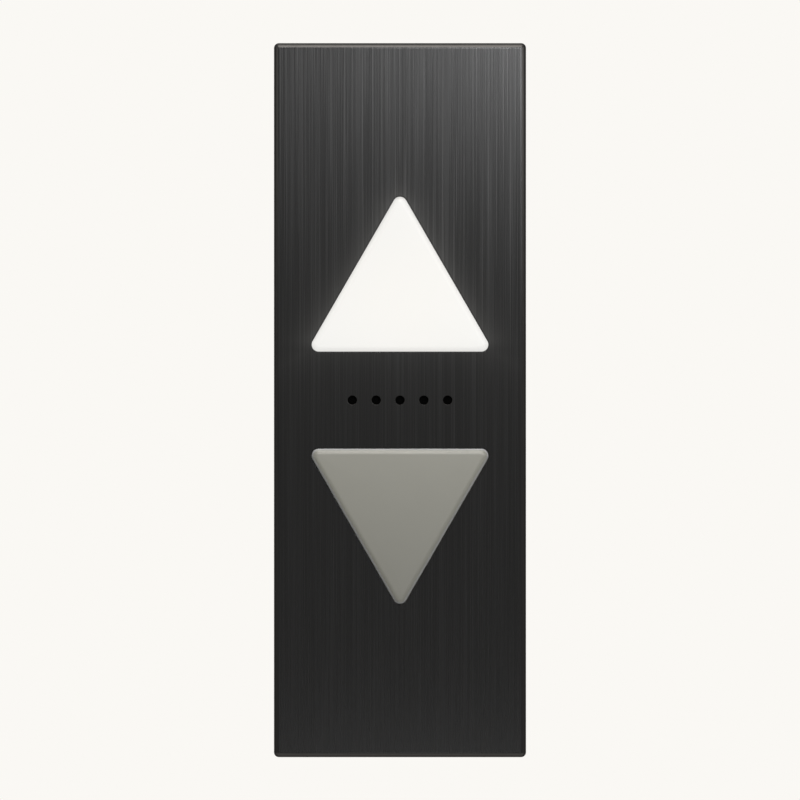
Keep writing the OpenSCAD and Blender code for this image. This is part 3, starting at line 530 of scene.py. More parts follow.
def moulded_chip(node, wide, tall):
    """Black moulded chip with tinned legs and a dimple at its first leg."""
    look = Look("black_chip", 0.5, name=node)
    dimple_in, dimple_r = 1, 0.42
    x, y, _ = look.axes()
    mid_x, mid_y, _ = middle(node)
    out_x = look.sub(look.unsigned(look.sub(x, mid_x)), wide / 2)
    out_y = look.sub(look.unsigned(look.sub(y, mid_y)), tall / 2)
    leg = look.ramp(look.larger(out_x, out_y), 0.0, 0.03)
    dimple = look.near([(mid_x - wide / 2 + dimple_in, mid_y + tall / 2 - dimple_in)], dimple_r)
    grain = look.noise(0.18, detail=3)
    plain = look.mix(dimple, look.cloudy(2, 0.2, CHIP_BLACK), DIMPLE_BLACK)
    two_tone(look, leg, plain, TIN, 0.5, 0.3)
    look.bump(look.mul(grain, look.inverse(dimple)), 0.02)
    look.bump(dimple, -0.12)
    return look


def glazed_resistor():
    """Chip resistor: black glaze on top of white ceramic, with tinned ends."""
    look = Look("black_chip", 0.35, name="chip_resistors")
    _, y, _ = look.axes()
    low, high = RESISTOR_Y
    cap_start = (high - low) / 2 - 0.55
    reach = look.unsigned(look.sub(y, (low + high) / 2))
    cap = look.ramp(reach, cap_start, cap_start + 0.05)
    top = look.ramp(look.facing("Y"), -0.8, -0.6, 1.0, 0.0)
    plain = look.mix(top, CERAMIC, look.cloudy(0.6, 0.2, GLAZE))
    two_tone(look, cap, plain, TIN, 0.3, 0.32)
    look.bump(look.noise(0.25), 0.01)
    return look


def can_capacitor():
    """Aluminium cans on black bases, with the dark mark of the minus side on top."""
    look = Look("aluminium_can", 0.2, 1.0)
    mark_x, base_h, crimp_h = -0.90, 1.05, 2.3
    x, _, z = look.axes()
    foot, top = span("capacitors")[2]
    first, second = (look.sub(x, can) for can in CANS)
    nearer = look.math("LESS_THAN", look.unsigned(second), look.unsigned(first))
    across = look.add(look.mul(second, nearer), look.mul(first, look.inverse(nearer)))
    lid = look.ramp(z, top - 0.1, top - 0.05)
    mark = look.mul(look.ramp(across, mark_x - 0.05, mark_x, 1.0, 0.0), lid)
    base = look.ramp(z, foot + base_h - 0.1, foot + base_h, 1.0, 0.0)
    dark = look.larger(mark, base)
    bright = look.shade(look.noise(2.5, stretch=(1, 1, 0.1), detail=3), 0.05, ALUMINIUM)
    two_tone(look, look.inverse(dark), CHIP_BLACK, bright, 0.5, 0.24)
    below = look.ramp(z, foot + crimp_h - 0.5, foot + crimp_h - 0.1)
    above = look.ramp(z, foot + crimp_h + 0.1, foot + crimp_h + 0.5, 1.0, 0.0)
    look.bump(look.mul(below, above), -0.25)
    look.bump(look.noise(0.2, stretch=(1, 1, 0.05)), 0.004)
    return look


def nylon_socket(node, *pins):
    """White nylon header with two gilt pins at each of the places."""
    look = Look("white_nylon", 0.42, name=node)
    pin = look.near([(x + side * PIN_X, y) for x, y in pins for side in (-1, 1)], 0.48)
    two_tone(look, pin, look.cloudy(4, 0.04, NYLON), GILT, 0.42, 0.28)
    look.bump(look.mul(look.noise(0.3, detail=3), look.inverse(pin)), 0.01)
    return look


def lamp_chip():
    """White lamp bodies with a phosphor-yellow window."""
    look = Look("lamp", 0.3)
    _, _, z = look.axes()
    top = span("up_lamps")[2][1]
    window = look.ramp(z, top - 0.15, top - 0.1)
    look.paint(look.mix(window, LAMP_BODY, look.cloudy(0.8, 0.08, detail=2)))
    look.set("Roughness", look.ramp(window, 0, 1, 0.45, 0.22, smooth=False))
    look.bump(look.noise(0.2), 0.006)
    return look


def threaded(node, slot, base, pitch, foot):
    """Plated stud, with its thread above the foot and painted shade in the thread's grooves."""
    look = Look(slot, 0.3, 1.0, name=node)
    _, _, z = look.axes()
    round_side = look.ramp(look.unsigned(look.facing("Y")), 0.3, 0.5, 1.0, 0.0)
    groove = look.mul(look.wave(z, pitch), look.mul(round_side, look.ramp(z, foot, foot + 0.2)))
    # Painted shade: the thread's grooves are darker than its crests
    look.paint(look.mix(look.ramp(groove, -0.9, 0.2), tinted(base, 0.35), base))
    look.uneven(0.6, 0.24, 0.38)
    look.bump(groove, 0.12)
    return look


def wound_coil():
    """Enamelled wire wound in a single layer, with painted shade between the turns."""
    look = Look("copper_coil", 0.25, 1.0)
    _, _, z = look.axes()
    wire = look.wave(z, WIRE)
    # Painted shade in the creases between the turns of wire
    look.paint(look.mix(look.ramp(wire, -1, 0.2), SHADE_BETWEEN_WIRES, look.color))
    look.bump(wire, 0.04)
    return look


def ringed_cloth(slot, rough, pitch, depth, spread):
    """Pressed paper or cloth with rings round the speaker's middle, painted darker in the rings' grooves."""
    look = Look(slot, rough)
    fibre_share, ring_shade_share = 0.7, 0.3
    rings = look.wave(look.reach(), pitch)
    fibre = look.noise(0.5, detail=4, rough=0.7)
    # Painted shade: the rings' grooves are darker than their ridges, on top of the fibres' own tone
    tone = look.add(look.mul(fibre, fibre_share), look.ramp(rings, -1, 1, 0.0, ring_shade_share))
    look.paint(look.shade(tone, spread))
    look.bump(rings, depth)
    look.bump(fibre, 0.05)
    return look


def mesh_cloth():
    """Fine black mesh behind the sound holes, with painted shade in the gaps between its threads."""
    look = Look("mesh", 0.9, Specular_IOR_Level=0.0)
    x, y, _ = look.axes()
    weave = look.mul(look.wave(x, MESH_PITCH), look.wave(y, MESH_PITCH))
    # Painted shade: darker in the gaps between the threads
    look.paint(look.mix(look.ramp(weave, -0.4, 0.6), MESH_GAP_SHADE, MESH_THREAD))
    look.bump(weave, 0.05)
    return look


def make_looks():
    """Every material: for each slot, for each print, and for each node with its own pattern."""
    made = {slot: plastic(slot, *values) for slot, values in PLASTICS.items()}
    made |= {
        "black_brushed_metal": brushed_black(),
        "zinc_steel": zinc(),
        "brass": metal("brass", 0.28, 0.10),
        "green_board": solder_mask("green_board", GREEN_MASK),
        "white_board": solder_mask("white_board", WHITE_MASK),
        "aluminium_can": can_capacitor(),
        "nickel_magnet": metal("nickel_magnet", 0.26, 0.05, depth=0.001),
        "lit_lens": lit_lens(),
        "grey_lens": grey_lens(),
        "lamp": lamp_chip(),
        "mesh": mesh_cloth(),
        "paper_cone": ringed_cloth("paper_cone", 0.85, 1.6, 0.06, 0.3),
        "copper_coil": wound_coil(),
        "treated_cloth": ringed_cloth("treated_cloth", 0.7, 1.1, 0.2, 0.2),
        "tin": tin(),
        "green_track": copper_track("green_board", GREEN_TRACK),
        "white_track": copper_track("white_board", WHITE_TRACK),
        "printed_mark": printed_mark(),
        "controller_chip": moulded_chip("controller_chip", 7.0, 7.0),
        "amplifier_chip": moulded_chip("amplifier_chip", 9.0, 5.0),
        "chip_resistors": glazed_resistor(),
        "lead_sockets": nylon_socket("lead_sockets", (SOCKET_X[0], SOCKET_Y), (SOCKET_X[1], SOCKET_Y),
                                     (SOCKET_X[1], FOOT_Y)),
        "up_lead_socket": nylon_socket("up_lead_socket", middle("up_lead_socket")[:2]),
        "down_lead_socket": nylon_socket("down_lead_socket", middle("down_lead_socket")[:2]),
        "cover_studs": threaded("cover_studs", "zinc_steel", ZINC_STUD, 0.5, 0.0),
        "earth_stud": threaded("earth_stud", "brass", BRASS_STUD, 0.7, 2.5),
    }
    return {name: look.done() for name, look in made.items()}


looks = make_looks()
for name, obj in nodes.items():
    obj.data.materials.clear()
    obj.data.materials.append(looks.get(name) or looks[slot_of[name]])


# Shapes that are finer than the CAD solids
def arrow_loop(margin, up, steps=14, shrink=1.0):
    """Outline of an arrow at a margin round its corner centres, anticlockwise from the front."""
    turn, mid_y = (0, ARROW_Y) if up else (180, -ARROW_Y)
    far = 2 * ARROW_IN * shrink
    loop = []
    for corner in (90, 210, 330):
        a = math.radians(corner + turn)
        for i in range(steps + 1):
            b = a + math.radians(120 * (i / steps - 0.5))
            loop.append((far * math.cos(a) + margin * math.cos(b),
                         mid_y + far * math.sin(a) + margin * math.sin(b)))
    return loop


def box_loop(half_x, half_y, r, steps=10, x=0.0, y=0.0):
    """Rounded rectangle round a place, anticlockwise from the front."""
    loop = []
    for quarter, (sx, sy) in enumerate(((1, 1), (-1, 1), (-1, -1), (1, -1))):
        for i in range(steps + 1):
            a = math.radians(90 * (quarter + i / steps))
            loop.append((x + sx * (half_x - r) + r * math.cos(a), y + sy * (half_y - r) + r * math.sin(a)))
    return loop


def round_loop(x, y, r, steps=40):
    """Circle round a place, anticlockwise from the front."""
    return [(x + r * math.cos(2 * math.pi * i / steps), y + r * math.sin(2 * math.pi * i / steps))
            for i in range(steps)]


def added(name, data):
    """A new object in the scene."""
    obj = bpy.data.objects.new(name, data)
    bpy.context.scene.collection.objects.link(obj)
    return obj


# Edges that turn by more than this many degrees stay sharp
SHARP = 35


class Shell:
    """A closed mesh, joined from loops of points in mm."""

    def __init__(self):
        self.bm = bmesh.new()

    def loop(self, points, z):
        """Adds an outline's points, at one height or with a height for each."""
        heights = z if isinstance(z, (list, tuple)) else [z] * len(points)
        return [self.bm.verts.new(at(x, y, h)) for (x, y), h in zip(points, heights)]

    def join(self, *loops):
        """Skins each loop to the next one."""
        for low, high in zip(loops, loops[1:]):
            for i in range(len(low)):
                j = (i + 1) % len(low)
                self.bm.faces.new((low[i], low[j], high[j], high[i]))

    def cap(self, loop):
        """Closes a loop with one face."""
        self.bm.faces.new(loop)

    def fill(self, *loops):
        """Flat sheet between an outline and the openings in it."""
        edges = []
        for loop in loops:
            for i in range(len(loop)):
                pair = (loop[i], loop[(i + 1) % len(loop)])
                edges.append(self.bm.edges.get(pair) or self.bm.edges.new(pair))
        bmesh.ops.triangle_fill(self.bm, use_beauty=True, edges=edges)

    def finish(self, name, body, slot, *replaced, look=None):
        """Makes the piece in its look, or else in its slot's look, hangs it on the body that it rides, and
        hides the nodes that it replaces.
        """
        bmesh.ops.remove_doubles(self.bm, verts=self.bm.verts, dist=1e-6)
        bmesh.ops.recalc_face_normals(self.bm, faces=self.bm.faces)
        mesh = bpy.data.meshes.new(name)
        self.bm.to_mesh(mesh)
        self.bm.free()
        for face in mesh.polygons:
            face.use_smooth = True
        mesh.set_sharp_from_angle(angle=math.radians(SHARP))
        mesh.materials.append(looks[look or slot])
        obj = added(name, mesh)
        weighted = obj.modifiers.new("weighted", "WEIGHTED_NORMAL")
        weighted.keep_sharp = True
        weighted.weight = 100
        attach(obj, body)
        if replaced:
            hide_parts(*replaced)


def rounding(shell, outline, z_edge, r, steps):
    """Loops of an edge rounding that goes from the side wall up to the flat face."""
    loops = []
    for i in range(steps + 1):
        a = math.radians(90 * i / steps)
        loops.append(shell.loop(outline(r * (1 - math.cos(a))), z_edge - r * (1 - math.sin(a))))
    return loops


def cover_shell():
    """Folded cover with rounded edges, finely broken cut-outs and an open back."""
    shell = Shell()
    outer_steps, inner_steps, break_steps = 12, 4, 4

    def rear(points):
        """Heights of the rear edge, which slopes above the pins."""
        return [WALL_GAP + max(0.0, y - PIVOT_Y) for _, y in points]

    def outer(inset):
        return box_loop(HALF_W - inset, HALF_H - inset, max(CORNER_R - inset, 0.0))

    def inner(inset):
        return outer(SHEET + inset)

    front = rounding(shell, outer, FACE_Z, FRONT_R, outer_steps)
    back = rounding(shell, inner, FACE_IN, FRONT_R - SHEET, inner_steps)
    outer_rear = shell.loop(outer(0), rear(outer(0)))
    inner_rear = shell.loop(inner(0), rear(inner(0)))
    shell.join(outer_rear, *front)
    shell.join(outer_rear, inner_rear, *back)
    openings = [(ARROW_BREAK, lambda m, up=up: arrow_loop(CUT_M + m, up)) for up in (True, False)]
    openings += [(HOLE_BREAK, lambda m, x=x: round_loop(x, 0, SOUND_R + m))
                 for x in places(0, SOUND_HOLES, SOUND_PITCH)]
    faces, rears = [front[-1]], [back[-1]]
    for broken, outline in openings:
        edge = []
        for i in range(break_steps + 1):
            a = math.radians(90 * i / break_steps)
            edge.append(shell.loop(outline(broken * (1 - math.sin(a))), FACE_Z - broken * (1 - math.cos(a))))
        bottom = shell.loop(outline(0), FACE_IN)
        shell.join(*edge, bottom)
        faces.append(edge[0])
        rears.append(bottom)
    bmesh.ops.remove_doubles(shell.bm, verts=front[-1] + back[-1], dist=1e-7)
    alive = [[v for v in loop if v.is_valid] for loop in (faces[0], rears[0])]
    shell.fill(alive[0], *faces[1:])
    shell.fill(alive[1], *rears[1:])
    shell.finish("cover_shell", "cover", "black_brushed_metal", "cover")


def lens(up):
    """Opal arrow lens: rim, wall, soft front edge, gently crowned face and hollow back."""
    shell = Shell()
    name, slot = ("up_arrow_lens", "lit_lens") if up else ("down_arrow_lens", "grey_lens")
    edge_steps, face_steps, flat_share = 12, 8, 0.5
    edge_top = LENS_TOP - LENS_CROWN

    def ring(margin, z, shrink=1.0):
        return shell.loop(arrow_loop(margin, up, shrink=shrink), z)

    edge = []
    for i in range(edge_steps + 1):
        a = math.radians(90 * i / edge_steps)
        inset, drop = LENS_EDGE_R * (1 - math.cos(a)), LENS_EDGE_R * (1 - math.sin(a))
        edge.append(ring(ARROW_R - inset, edge_top - drop))
    face = []
    for i in range(1, face_steps + 1):
        share = 1 - i / (face_steps + flat_share)
        face.append(ring((ARROW_R - LENS_EDGE_R) * share, LENS_TOP - LENS_CROWN * share * share, share))
    rim = [ring(ARROW_R, SEAT_Z + RIM_T), ring(RIM_M, SEAT_Z + RIM_T), ring(RIM_M, SEAT_Z)]
    hollow = [ring(ARROW_R - LENS_WALL, SEAT_Z), ring(ARROW_R - LENS_WALL, LENS_TOP - LENS_WALL)]
    shell.join(*hollow[::-1], *rim[::-1], *edge, *face)
    shell.cap(face[-1])
    shell.cap(hollow[-1])
    shell.finish(name, "cover", slot, "up_lens" if up else "down_lens")


# Heights of the print on a board and its depth in it, and widths of its lines
TRACK_H, PAD_H, MARK_H, SUNK = 0.05, 0.08, 0.07, 0.03
FINE, BROAD, MARK_W = 0.3, 0.8, 0.2
ROW, BEND = 0.9, 0.8


class Print(Shell):
    """Thin relief on a board's face: tracks, pads and printed lines, between two heights."""

    def __init__(self, low, high):
        super().__init__()
        self.low = low
        self.high = high
        self.vias = []

    def solid(self, outline):
        """Raised area with an outline."""
        low = self.loop(outline, self.low)
        high = self.loop(outline, self.high)
        self.join(low, high)
        self.cap(low[::-1])
        self.cap(high)

    def strip(self, width, *points):
        """Line of even width with mitred corners."""
        ways = []
        for (x0, y0), (x1, y1) in zip(points, points[1:]):
            length = math.hypot(x1 - x0, y1 - y0)
            ways.append(((x1 - x0) / length, (y1 - y0) / length))
        left, right = [], []
        for i, (x, y) in enumerate(points):
            a, b = ways[max(i - 1, 0)], ways[min(i, len(ways) - 1)]
            reach = width / 2 / (1 + a[0] * b[0] + a[1] * b[1])
            dx, dy = -(a[1] + b[1]) * reach, (a[0] + b[0]) * reach
            left.append((x + dx, y + dy))
            right.append((x - dx, y - dy))
        self.solid(right + left[::-1])

    def run(self, width, start, run_y, end):
        """Line between two places along a level run, with its corners cut at 45 degrees."""
        (x0, y0), (x1, y1) = start, end
        side = math.copysign(BEND, x1 - x0)
        leave, arrive = math.copysign(BEND, run_y - y0), math.copysign(BEND, y1 - run_y)
        corners = ((x0, run_y - leave), (x0 + side, run_y), (x1 - side, run_y), (x1, run_y + arrive))
        self.strip(width, start, *corners, end)

    def stub(self, start, end):
        """Short fine track that ends in a via."""
        self.strip(FINE, start, end)
        self.vias.append(end)

    def uprights(self, across, heights, width, half):
        """Short upright lines round places in rows."""
        for x in across:
            for y in heights:
                self.strip(width, (x, y - half), (x, y + half))

    def disc(self, x, y, r, steps=16):
        """Round raised area."""
        self.solid(round_loop(x, y, r, steps))

    def band(self, outer, inner):
        """Closed line between two outlines with as many points."""
        low_out, low_in = self.loop(outer, self.low), self.loop(inner, self.low)
        high_out, high_in = self.loop(outer, self.high), self.loop(inner, self.high)
        self.join(low_out, high_out, high_in, low_in, low_out)

    def frame(self, x, y, margin):
        """Rectangular line at a margin round a part, whose x and y are each a lowest and a highest."""
        half = 0.09

        def loop(out):
            left, right, foot, top = x[0] - out, x[1] + out, y[0] - out, y[1] + out
            return [(right, top), (left, top), (left, foot), (right, foot)]

        self.band(loop(margin + half), loop(margin - half))

    def socket_frame(self, x, y, margin):
        """Rectangular line round a socket's middle."""
        self.frame((x - SOCKET_HALF_X, x + SOCKET_HALF_X), (y - SOCKET_HALF_Y, y + SOCKET_HALF_Y), margin)


def prints(face, way):
    """Tracks, pads and marks for a board's face, where way is 1 on its front and -1 on its back."""
    return [Print(face - way * SUNK, face + way * height) for height in (TRACK_H, PAD_H, MARK_H)]


def controller_tracks(tracks):
    """Runs from the controller to the terminals, the sockets, the levers, the trimmer and the first can."""
    foot, top = CHIP_Y
    top_row, foot_row = top + 3, foot - 2.1
    low_legs, high_legs = CHIP_LEGS_X[:4], CHIP_LEGS_X[4:]
    way_y = TERMINAL_Y[0] + 1
    socket_pins = [x + side * PIN_X for x in SOCKET_X for side in (-1, 1)]
    for i in range(4):
        tracks.run(FINE, (low_legs[i], top), top_row + i * ROW, (WAYS[i + 1], way_y))
        tracks.run(FINE, (high_legs[i], top), top_row + (3 - i) * ROW, (socket_pins[i], SOCKET_Y))
        tracks.run(FINE, (low_legs[i], foot), foot_row - i * ROW, (LEVERS[i], FOOT_Y + 3))
    for i, pin in enumerate(TRIMMER_PINS):
        tracks.run(FINE, (high_legs[i], foot), foot_row - (i + 4) * ROW, (pin, FOOT_Y + 4))
    last = high_legs[3]
    tracks.strip(FINE, (last, foot), (last, FOOT_Y + BEND), (last + BEND, FOOT_Y), (CANS[0], FOOT_Y))


def amplifier_tracks(tracks):
    """Broad runs from the amplifier to the speaker's socket and the second can, and its short tracks."""
    foot, top = AMP_Y
    first_run, run_step, run_end = 2.7, 1.4, FOOT_Y + 2
    for i, x in enumerate((SOCKET_X[1] + PIN_X, SOCKET_X[1] - PIN_X, CANS[1])):
        leg = AMP_LEGS[5 - i]
        tracks.run(BROAD, (leg, foot), foot - first_run - i * run_step, (x, run_end))
    tracks.strip(BROAD, (AMP_LEGS[2], foot), (AMP_LEGS[2], run_end))
    for i in (0, 1):
        tracks.stub((AMP_LEGS[i], foot), (AMP_LEGS[i], foot - 2 - i))
    for i, x in enumerate(AMP_LEGS):
        tracks.stub((x, top), (x, top + 1.4 + i % 2))


def side_tracks(tracks):
    """Short tracks beside the controller and at the resistors."""
    left, bend = CHIP_X[0], 0.7
    for i, y in enumerate(CHIP_LEGS_Y[1:-1]):
        tracks.stub((left, y), (left - 2 - 1.3 * (i % 3), y))
    last = LEFT_RESISTORS[-1]
    for y, leg_y in ((RESISTOR_Y[0], CHIP_LEGS_Y[0]), (RESISTOR_Y[1], CHIP_LEGS_Y[-1])):
        corner = leg_y - math.copysign(bend, leg_y - y)
        tracks.strip(FINE, (last, y), (last, corner), (last + bend, leg_y), (left, leg_y))
    for i, x in enumerate(LEFT_RESISTORS[:-1] + RIGHT_RESISTORS):
        for y, way in zip(RESISTOR_Y, (-1, 1)):
            tracks.stub((x, y), (x, y + way * (1.6 + 0.9 * (i % 2))))


def power_tracks(tracks):
    """Broad copper below the outer terminals and along the board's sides, with rows of vias."""
    foot = TERMINAL_Y[0]
    for x in (WAYS[0], WAYS[5]):
        tracks.strip(2.2, (x, foot + 1), (x, foot - 2.4))
        tracks.vias += [(x + dx, foot + dy) for dx in (-0.55, 0.55) for dy in (-0.8, -1.7)]
    side_x, width, half_h = 34.6, 4.6, 15
    for side in (-1, 1):
        tracks.strip(width, (side * side_x, BOARD_MID - half_h), (side * side_x, BOARD_MID + half_h))
        tracks.vias += [(side * x, BOARD_MID - 13.5 + 3 * i) for i in range(10) for x in (33.2, 36)]


def board_pads(pads, vias):
    """Vias, pads under the parts' legs, rings round the screws and the assembly machine's three dots."""
    for x, y in vias:
        pads.disc(x, y, 0.3, 12)
    pads.uprights(LEFT_RESISTORS + RIGHT_RESISTORS, RESISTOR_Y, 1.7, 0.45)
    pads.uprights(CHIP_LEGS_X, CHIP_Y, 0.42, 0.5)
    for y in CHIP_LEGS_Y:
        for x in CHIP_X:
            pads.strip(0.42, (x - 0.5, y), (x + 0.5, y))
    pads.uprights(AMP_LEGS, AMP_Y, 0.62, 0.55)
    for x in CANS:
        for side in (-1, 1):
            pads.strip(1.6, (x + side * 3, FOOT_Y), (x + side * 4, FOOT_Y))
    screw_x, screw_y, screw_steps = 35, 19.015, 40
    for x in (-screw_x, screw_x):
        for y in (BOARD_MID - screw_y, BOARD_MID + screw_y):
            pads.band(round_loop(x, y, 3.5, screw_steps), round_loop(x, y, 1.8, screw_steps))
    for x, y in ((-31.8, BOARD_MID + 21), (31.5, BOARD_MID + 21), (2.6, BOARD_MID - 21)):
        pads.disc(x, y, 0.5)


def board_marks(marks):
    """Printed outlines of the control board's parts, with dots at the chips' first legs."""
    margin = 0.35
    for x in LEFT_RESISTORS + RIGHT_RESISTORS:
        for side in (-1.15, 1.15):
            marks.strip(0.15, (x + side, RESISTOR_Y[0] + 0.7), (x + side, RESISTOR_Y[1] - 0.7))
    for x in CANS:
        marks.band(box_loop(3.7, 3.7, 0.9, x=x, y=FOOT_Y), box_loop(3.55, 3.55, 0.8, x=x, y=FOOT_Y))
        marks.strip(MARK_W, (x + 4.3, FOOT_Y + 2.4), (x + 5.1, FOOT_Y + 2.4))
    for x in SOCKET_X:
        marks.socket_frame(x, SOCKET_Y, margin)
    marks.socket_frame(SOCKET_X[1], FOOT_Y, margin)
    line_y = TERMINAL_Y[0] - margin
    marks.strip(MARK_W, (WAYS[0] - 2.9, line_y), (WAYS[5] + 2.9, line_y))
    for node in ("dip_switch", "volume_trimmer"):
        marks.frame(*span(node)[:2], margin)
    marks.disc(CHIP_X[0] - 0.4, CHIP_Y[1] + 0.5, 0.28)
    marks.disc(AMP_X[0] + 0.2, AMP_Y[1] + 0.6, 0.28)


def control_board_print():
    """Tracks, pads and component outlines of the control board, laid out between its parts."""
    tracks, pads, marks = prints(BOARD_TOP, 1)
    controller_tracks(tracks)
    amplifier_tracks(tracks)
    side_tracks(tracks)
    power_tracks(tracks)
    board_pads(pads, tracks.vias)
    board_marks(marks)
    tracks.finish("board_tracks", "chassis", "green_board", look="green_track")
    pads.finish("board_pads", "chassis", "zinc_steel", look="tin")
    marks.finish("board_marks", "chassis", "white_board", look="printed_mark")


def lamp_board_print(up):
    """Tracks along the lamp rows and the heat vias behind each lamp, on a lamp board's back."""
    name = "up" if up else "down"
    turn = 1 if up else -1
    tracks, pads, marks = prints(span(name + "_lamp_board")[2][0], -1)
    pitch, rows = 13.5, 5
    row_h = pitch * math.sin(math.radians(60))
    top_y = (rows - 1) * row_h * 2 / 3
    clear_x, clear_y = 4.4, 3.6
    heat_vias = [(dx, dy) for dx in (-1.2, 0, 1.2) for dy in (-1.2, 0, 1.2)]
    socket_x, socket_y, _ = middle(name + "_lead_socket")
    for row in range(rows):
        y = turn * (ARROW_Y + top_y - row * row_h)
        lamps = places(0, row + 1, pitch)
        if row:
            tracks.strip(1.6, (lamps[0], y), (lamps[-1], y))
        for x in lamps:
            tracks.solid(box_loop(2.6, 2.6, 0.5, 3, x=x, y=y))
            for dx, dy in heat_vias:
                if abs(x + dx - socket_x) > clear_x or abs(y + dy - socket_y) > clear_y:
                    pads.disc(x + dx, y + dy, 0.28, 10)
    tracks.band(arrow_loop(1.2, up, 4), arrow_loop(0.2, up, 4))
    for side in (-1, 1):
        pads.disc(socket_x + side * PIN_X, socket_y, 0.9)
    marks.socket_frame(socket_x, socket_y, 0.4)
    tracks.finish(name + "_lamp_tracks", "cover", "white_board", look="white_track")
    pads.finish(name + "_lamp_pads", "cover", "zinc_steel", look="tin")
    marks.finish(name + "_lamp_marks", "cover", "black_chip")


def terminal_clamps():
    """Wire cages that show in the mouths of the terminal block."""
    shell = Shell()
    front, back = TERMINAL_Y[1] - 1.2, TERMINAL_Y[1] - 4.2
    low, high, thick, half = BOARD_TOP + 1.6, BOARD_TOP + 4.8, 0.45, 1.6

    def ring(x, inset, y):
        left, right = x - half + inset, x + half - inset
        heights = [low + inset, low + inset, high - inset, high - inset]
        return shell.loop([(left, y), (right, y), (right, y), (left, y)], heights)

    for x in WAYS:
        outer_back, inner_back = ring(x, 0, back), ring(x, thick, back)
        shell.join(outer_back, ring(x, 0, front), ring(x, thick, front), inner_back, outer_back)
    shell.finish("terminal_clamps", "chassis", "zinc_steel", look="tin")


cover_shell()
lens(True)
lens(False)
control_board_print()
lamp_board_print(True)
lamp_board_print(False)
terminal_clamps()


# Stage, lamps and camera
PALE = (0.956, 0.939, 0.905)
FRONT_LIGHT, BACK_LIGHT = 0.06, 0.95
FLOOR_R, FLOOR_Y, FLOOR_RINGS, FLOOR_STEPS = 3000.0, -450.0, 12, 64
FADE_START, FADE_END = FLOOR_R * MM * 0.45, FLOOR_R * MM * 0.97
FLOOR_LIFT = 0.35
FLAG_SHADE = 0.32
MIRRORED_FLOOR = 0.4
FRAME_WIDE = 362.55
CAMERA_UP = 0.07
CAMERA_FAR = 3000.0
SENSOR = 36.0

# Lamps: place, target and size in mm, power in watts and colour
WHITE, SOFT_WHITE, WARM, WARMER = (1, 1, 1), (1.0, 0.98, 0.95), (1.0, 0.965, 0.93), (1.0, 0.955, 0.91)
LAMPS = {
    "key": ((224, 251, 928), (20, 60, 28), (100, 100), 3.6, WHITE),
    "high": ((10, 433, 703), (0, 150, 28), (340, 200), 2.5, WARM),
    "overhead": ((10, 450, 290), (0, 160, 28), (320, 250), 2.1, WARMER),
    "top": ((0, 520, 90), (0, 160, 28), (300, 200), 0.8, SOFT_WHITE),
    "left": ((-600, 210, 450), (0, 150, 28), (400, 160), 0.50, SOFT_WHITE),
    "right": ((600, 210, 450), (0, 150, 28), (400, 160), 1.00, SOFT_WHITE),
    "low": ((20, -260, 700), (0, -60, 28), (200, 100), 0.22, WHITE),
}


def camera():
    """Distant camera, straight in front of the lantern."""
    data = bpy.data.cameras.new("camera")
    data.sensor_width = SENSOR
    data.lens = SENSOR * CAMERA_FAR / FRAME_WIDE
    obj = added("camera", data)
    obj.location = at(0, CAMERA_UP, CAMERA_FAR + FACE_Z)
    obj.rotation_euler = (math.radians(90), 0, 0)
    bpy.context.scene.camera = obj


def area_light(name, place, target, size, power, color):
    """Rectangular lamp at a place that faces a target, both in mm like its size."""
    data = bpy.data.lights.new(name, "AREA")
    data.shape = "RECTANGLE"
    data.size, data.size_y = size[0] * MM, size[1] * MM
    data.energy = power
    data.color = color
    obj = added(name, data)
    obj.location = at(*place)
    obj.rotation_euler = (at(*target) - at(*place)).to_track_quat("-Z", "Y").to_euler()
    obj.visible_camera = False


def mirrored(tree):
    """1 for the rays that see the background in a surface, or see it straight."""
    rays = tree.node("LightPath").outputs
    seen = tree.larger(rays["Is Camera Ray"], rays["Is Glossy Ray"])
    return tree.larger(seen, rays["Is Transmission Ray"])


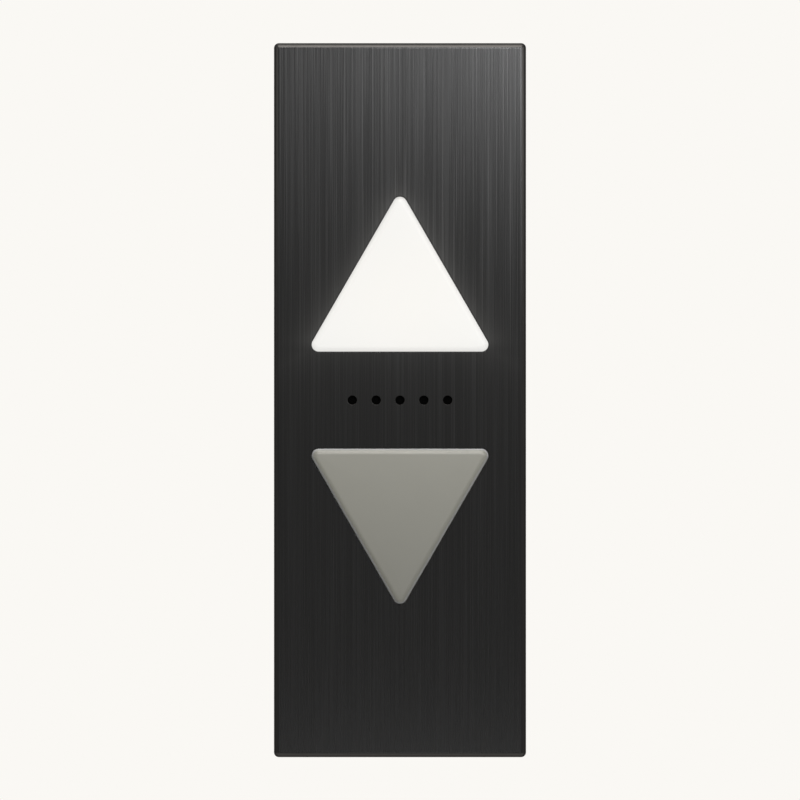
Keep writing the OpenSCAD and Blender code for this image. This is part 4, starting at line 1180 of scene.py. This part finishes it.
def world():
    """Pale all round, with even light from behind and less from the front, where the lamps are."""
    sky = bpy.data.worlds.new("studio")
    bpy.context.scene.world = sky
    sky.use_nodes = True
    tree = Nodes(sky.node_tree, "Background")
    way = tree.node("SeparateXYZ", {0: tree.node("TexCoord").outputs["Generated"]}).outputs
    light = tree.ramp(way["Y"], -0.2, 0.6, FRONT_LIGHT, BACK_LIGHT)
    aside = tree.mul(tree.unsigned(way["X"]), tree.node("LightPath").outputs["Is Glossy Ray"])
    shade = tree.ramp(aside, 0.1, 1.0, 1.0, FLAG_SHADE, smooth=False)
    pale = tree.scaled(PALE, shade)
    grey = tree.node("CombineXYZ", {0: light, 1: light, 2: light}).outputs[0]
    tree.set("Color", tree.mix(mirrored(tree), grey, pale))
    tree.set("Strength", 1.0)


def floor():
    """Pale round floor below the lantern that fades into the background, seen from above only."""
    shell = Shell()
    rings = []
    for i in range(1, FLOOR_RINGS + 1):
        points = round_loop(0, 0, FLOOR_R * i / FLOOR_RINGS, FLOOR_STEPS)
        rings.append(shell.loop([(x, FLOOR_Y) for x, _ in points], [z for _, z in points]))
    shell.cap(rings[0])
    shell.join(*rings)
    shell.bm.normal_update()
    for face in shell.bm.faces:
        if face.normal.z < 0:
            face.normal_flip()
    mesh = bpy.data.meshes.new("floor")
    shell.bm.to_mesh(mesh)
    shell.bm.free()
    mat = bpy.data.materials.new("floor")
    mat.use_nodes = True
    tree = Nodes(mat.node_tree, "Principled BSDF")
    tree.set("Base Color", (*PALE, 1))
    tree.set("Roughness", 0.9)
    tree.set("Specular IOR Level", 0.0)
    tree.set("Emission Color", (*PALE, 1))
    rays = tree.node("LightPath").outputs
    seen = tree.mul(rays["Is Camera Ray"], FLOOR_LIFT)
    tree.set("Emission Strength", tree.add(seen, tree.mul(rays["Is Glossy Ray"], MIRRORED_FLOOR)))
    far = tree.length(tree.node("TexCoord").outputs["Object"])
    fade = tree.ramp(far, FADE_START, FADE_END, 1.0, 0.0)
    below = tree.node("NewGeometry").outputs["Backfacing"]
    tree.set("Alpha", tree.mul(fade, tree.inverse(below)))
    mesh.materials.append(mat)
    added("floor", mesh)


camera()
world()
floor()
for name, lamp in LAMPS.items():
    area_light(name, *lamp)

bpy.context.scene.view_settings.view_transform = "Standard"
